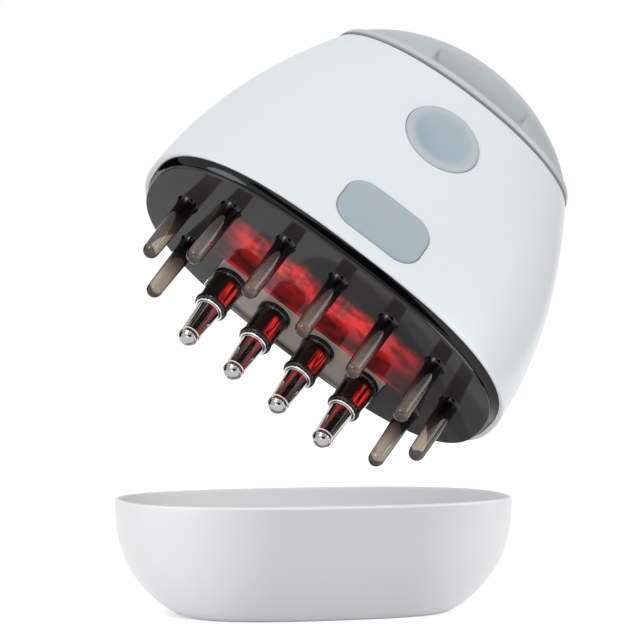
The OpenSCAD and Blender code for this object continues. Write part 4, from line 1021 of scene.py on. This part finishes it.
def makeDustCap():
    height, wall = dustCap["height"], dustCap["wall"]
    outLength = plate["halfLength"] + plate["fitGap"] + wall
    outWidth = plate["halfWidth"] + plate["fitGap"] + wall

    def ring(t, inset, z):
        drawIn = 1 - (1 - t ** dustCap["sideBend"]) ** dustCap["footBend"]
        return oval(outLength - inset - (outLength - dustCap["baseHalfLength"]) * drawIn,
                    outWidth - inset - (outWidth - dustCap["baseHalfWidth"]) * drawIn, plate["roundness"], z, 256)

    # the rings lie closer near the base
    steps = dustCap["steps"]
    shares = [1 - (i / steps) ** 1.5 for i in range(steps + 1)]
    outer = [ring(1, 0.6, 0.0), ring(1, 0.15, 0.06), ring(0.9985, 0.0, 0.25)]
    outer += [ring(t, 0, height * (1 - t)) for t in shares[1:] if height * (1 - t) > 0.3 and t > 0.03]
    lip = wall / 2
    rim = [ring(0, lip * (1 - math.cos(a)), height - lip + lip * math.sin(a)) for a in angles(0, 181, 15)]
    shares = [dustCap["floorShare"] * (i / steps) ** 0.7 for i in range(1, steps + 1)]
    inner = [ring(t, wall, wall + (height - wall) * (1 - t)) for t in shares]
    mesh = loftMesh("capSkin", outer + rim + inner)
    piece = newPiece("capSkin", mesh, finishes["dustCap"], "dust_cap", millimetre)
    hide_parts("dust_cap")


makeShell()
makeLid()
makePowerButton()
makeDoseButton()
print("shell, lid and buttons made")
plateSkin = makePlate()
makeTeeth()
makeBar()
makeCollars()
makePins()
makeDustCap()
print("comb, pins and dust cap made")


def dressInside():
    # the CAD pieces that stay as they are
    looks = (
        (metal("springWire", "#c4c4c6", 0.2), ("pin_springs", "pump_spring")),
        (clearPlastic("clearMoulding", "#e3e8ea", 0.6, 0.12), ("nozzle_manifold", "liquid_tank", "pump_cup")),
        (moulded("frameGrey", "#c3c5c8", 0.5, 0.06, 600, 0.15), ("chassis",)),
        (moulded("boardGreen", "#1d6b3c", 0.35, 0.2, 1500, 0.1), ("main_board", "light_board", "charge_board")),
        (moulded("partBlack", "#2a2a2c", 0.4, 0.15, 800, 0.1),
         ("board_parts", "tact_switch", "switch_plunger", "motor_mount")),
        (metal("screwSteel", "#aeaeb2", 0.25), ("chassis_screws", "board_screws")),
        (moulded("softGrey", "#55575a", 0.6, 0.08, 700, 0.2), ("lid_seal", "filler_plug", "pump_piston")),
        (clearPlastic("hoseClear", "#dfe4e6", 0.5, 0.2), ("tank_hose", "nozzle_hose")),
        (moulded("cellSleeve", "#2f5f8f", 0.25, 0.05, 500, 0.03), ("battery_cell",)),
        (moulded("wireRed", "#a01818", 0.45, 0.1, 900, 0.1), ("battery_leads",)),
        (moulded("wireBlack", "#1c1c1c", 0.45, 0.1, 900, 0.1), ("motor_leads",)),
        (metal("socketMetal", "#b9bbc0", 0.18), ("charge_socket",)),
        (metal("motorSteel", "#aaacb0", 0.22), ("motor_can",)),
        (metal("weightMetal", "#77777b", 0.4), ("motor_weight",)),
        # the diodes glow as lamps; the diffuser shares that emission as a painted glow
        (moulded("diodeRed", "#d01c18", 0.2, 0.1, 500, 0.02,
                 extra={"Emission Color": (1, 0.05, 0.04, 1), "Emission Strength": 0.6}),
         ("light_diodes", "light_diffuser")),
    )
    for material, names in looks:
        for name in names:
            node = frame["nodes"][name]
            node.data.materials.clear()
            node.data.materials.append(material)


dressInside()
print("inner pieces dressed")

# the lamps: where, how wide, how strong and at what height over the middle they aim, in metres and watts
stage = {
    "floor": "#f4f4f4", "floorGlow": 0.5, "worldFill": 0.62,
    "lamps": {"key": ((-0.75, -0.7, 1.0), 0.7, 5.5, 0.06), "side": ((0.9, -0.5, 0.5), 0.6, 2.5, 0.07),
              "low": ((-0.5, -0.8, 0.05), 0.5, 1.2, 0.05)},
    # each card: how far to the right and ahead, how wide, and from which height to which
    "cards": {"cardLeft": (-0.75, 0.35, 0.7, 0.02, 0.9), "cardRight": (0.75, 0.35, 0.7, 0.02, 0.9),
              "cardFront": (0.25, -1.5, 1.5, -0.35, 0.75)},
    "cardsRight": (0.94, -0.342, 0), "cardsAhead": (0.342, 0.94, 0),
}


def plainMesh(bm, name):
    mesh = bpy.data.meshes.new(name)
    bm.to_mesh(mesh)
    bm.free()
    return mesh


def seenWhite(tree):
    # one for what the camera sees straight, in a reflection or through clear plastic
    rays = addNode(tree, "ShaderNodeLightPath").outputs
    seen = calc("MAXIMUM", rays["Is Camera Ray"], rays["Is Glossy Ray"])
    return calc("MAXIMUM", seen, rays["Is Transmission Ray"])


def makeFloor():
    bm = bmesh.new()
    bmesh.ops.create_grid(bm, x_segments=8, y_segments=8, size=6)
    floor = addObject("floor", plainMesh(bm, "floor"))
    # where it is seen, the floor is as white as the backdrop
    material, shader = newMaterial("floorPale")
    plugIn(shader, {"Base Color": stage["floor"], "Roughness": 0.8, "Emission Color": (1, 1, 1, 1),
                          "Emission Strength": calc("MULTIPLY", seenWhite(shader.id_data), stage["floorGlow"])})
    floor.data.materials.append(material)


def makeDarkCards():
    # dark cards out of view give the polished metal and the smoky plastic their dark edges
    material, shader = newMaterial("cardDark")
    plugIn(shader, {"Base Color": (0.004, 0.004, 0.005, 1), "Roughness": 1.0, "Specular IOR Level": 0.0})
    right, ahead = Vector(stage["cardsRight"]), Vector(stage["cardsAhead"])
    for name, (side, depth, wide, low, high) in stage["cards"].items():
        middle = right * side + ahead * depth
        along = Vector((-middle.y, middle.x, 0)).normalized() * wide / 2
        bm = bmesh.new()
        bm.faces.new([bm.verts.new(middle + along * a + Vector((0, 0, z)))
                      for a, z in ((-1, low), (1, low), (1, high), (-1, high))])
        card = addObject(name, plainMesh(bm, name))
        card.data.materials.append(material)
        for way in ("camera", "diffuse", "shadow", "volume_scatter"):
            setattr(card, "visible_" + way, False)


def makeWorld():
    world = bpy.data.worlds.new("studio")
    bpy.context.scene.world = world
    world.use_nodes = True
    tree = world.node_tree
    strength = calc("MULTIPLY_ADD", seenWhite(tree), 1 - stage["worldFill"], stage["worldFill"])
    plugIn(tree.nodes["Background"], {"Color": (1, 1, 1, 1), "Strength": strength})


def makeLamps():
    for name, (location, size, strength, aim) in stage["lamps"].items():
        lamp = bpy.data.lights.new(name, "AREA")
        lamp.shape = "DISK"
        lamp.size = size
        lamp.energy = strength
        holder = addObject(name, lamp)
        holder.location = location
        holder.rotation_mode = "QUATERNION"
        holder.rotation_quaternion = (Vector((0, 0, aim)) - Vector(location)).to_track_quat("-Z", "Y")


# degrees round the cap, above level and of roll; the picture is 640 pixels wide
view = {"place": (-0.2384, -0.6882, 0.0988), "around": 19.14, "above": 2.21, "roll": 0.78, "focalPixels": 3021,
        "sensorWidth": 36, "pictureWidth": 640}


def makeCamera():
    # fitted to the photograph's outline
    around, above, roll = (math.radians(view[name]) for name in ("around", "above", "roll"))
    forward = Vector((math.sin(around) * math.cos(above), math.cos(around) * math.cos(above), -math.sin(above)))
    right = Vector((math.cos(around), -math.sin(around), 0))
    upward = right.cross(forward)
    right, upward = (right * math.cos(roll) + upward * math.sin(roll),
                     upward * math.cos(roll) - right * math.sin(roll))
    camera = bpy.data.cameras.new("view")
    camera.sensor_width = view["sensorWidth"]
    camera.lens = view["focalPixels"] * view["sensorWidth"] / view["pictureWidth"]
    camera.clip_start = 0.01
    camera.clip_end = 100
    holder = addObject("view", camera)
    turn = Matrix((right, upward, -forward)).transposed().to_4x4()
    holder.matrix_world = Matrix.Translation(view["place"]) @ turn
    bpy.context.scene.camera = holder


makeFloor()
makeDarkCards()
makeWorld()
makeLamps()
makeCamera()
bpy.context.scene.view_settings.view_transform = "Standard"
print("stage, lamps and camera made")
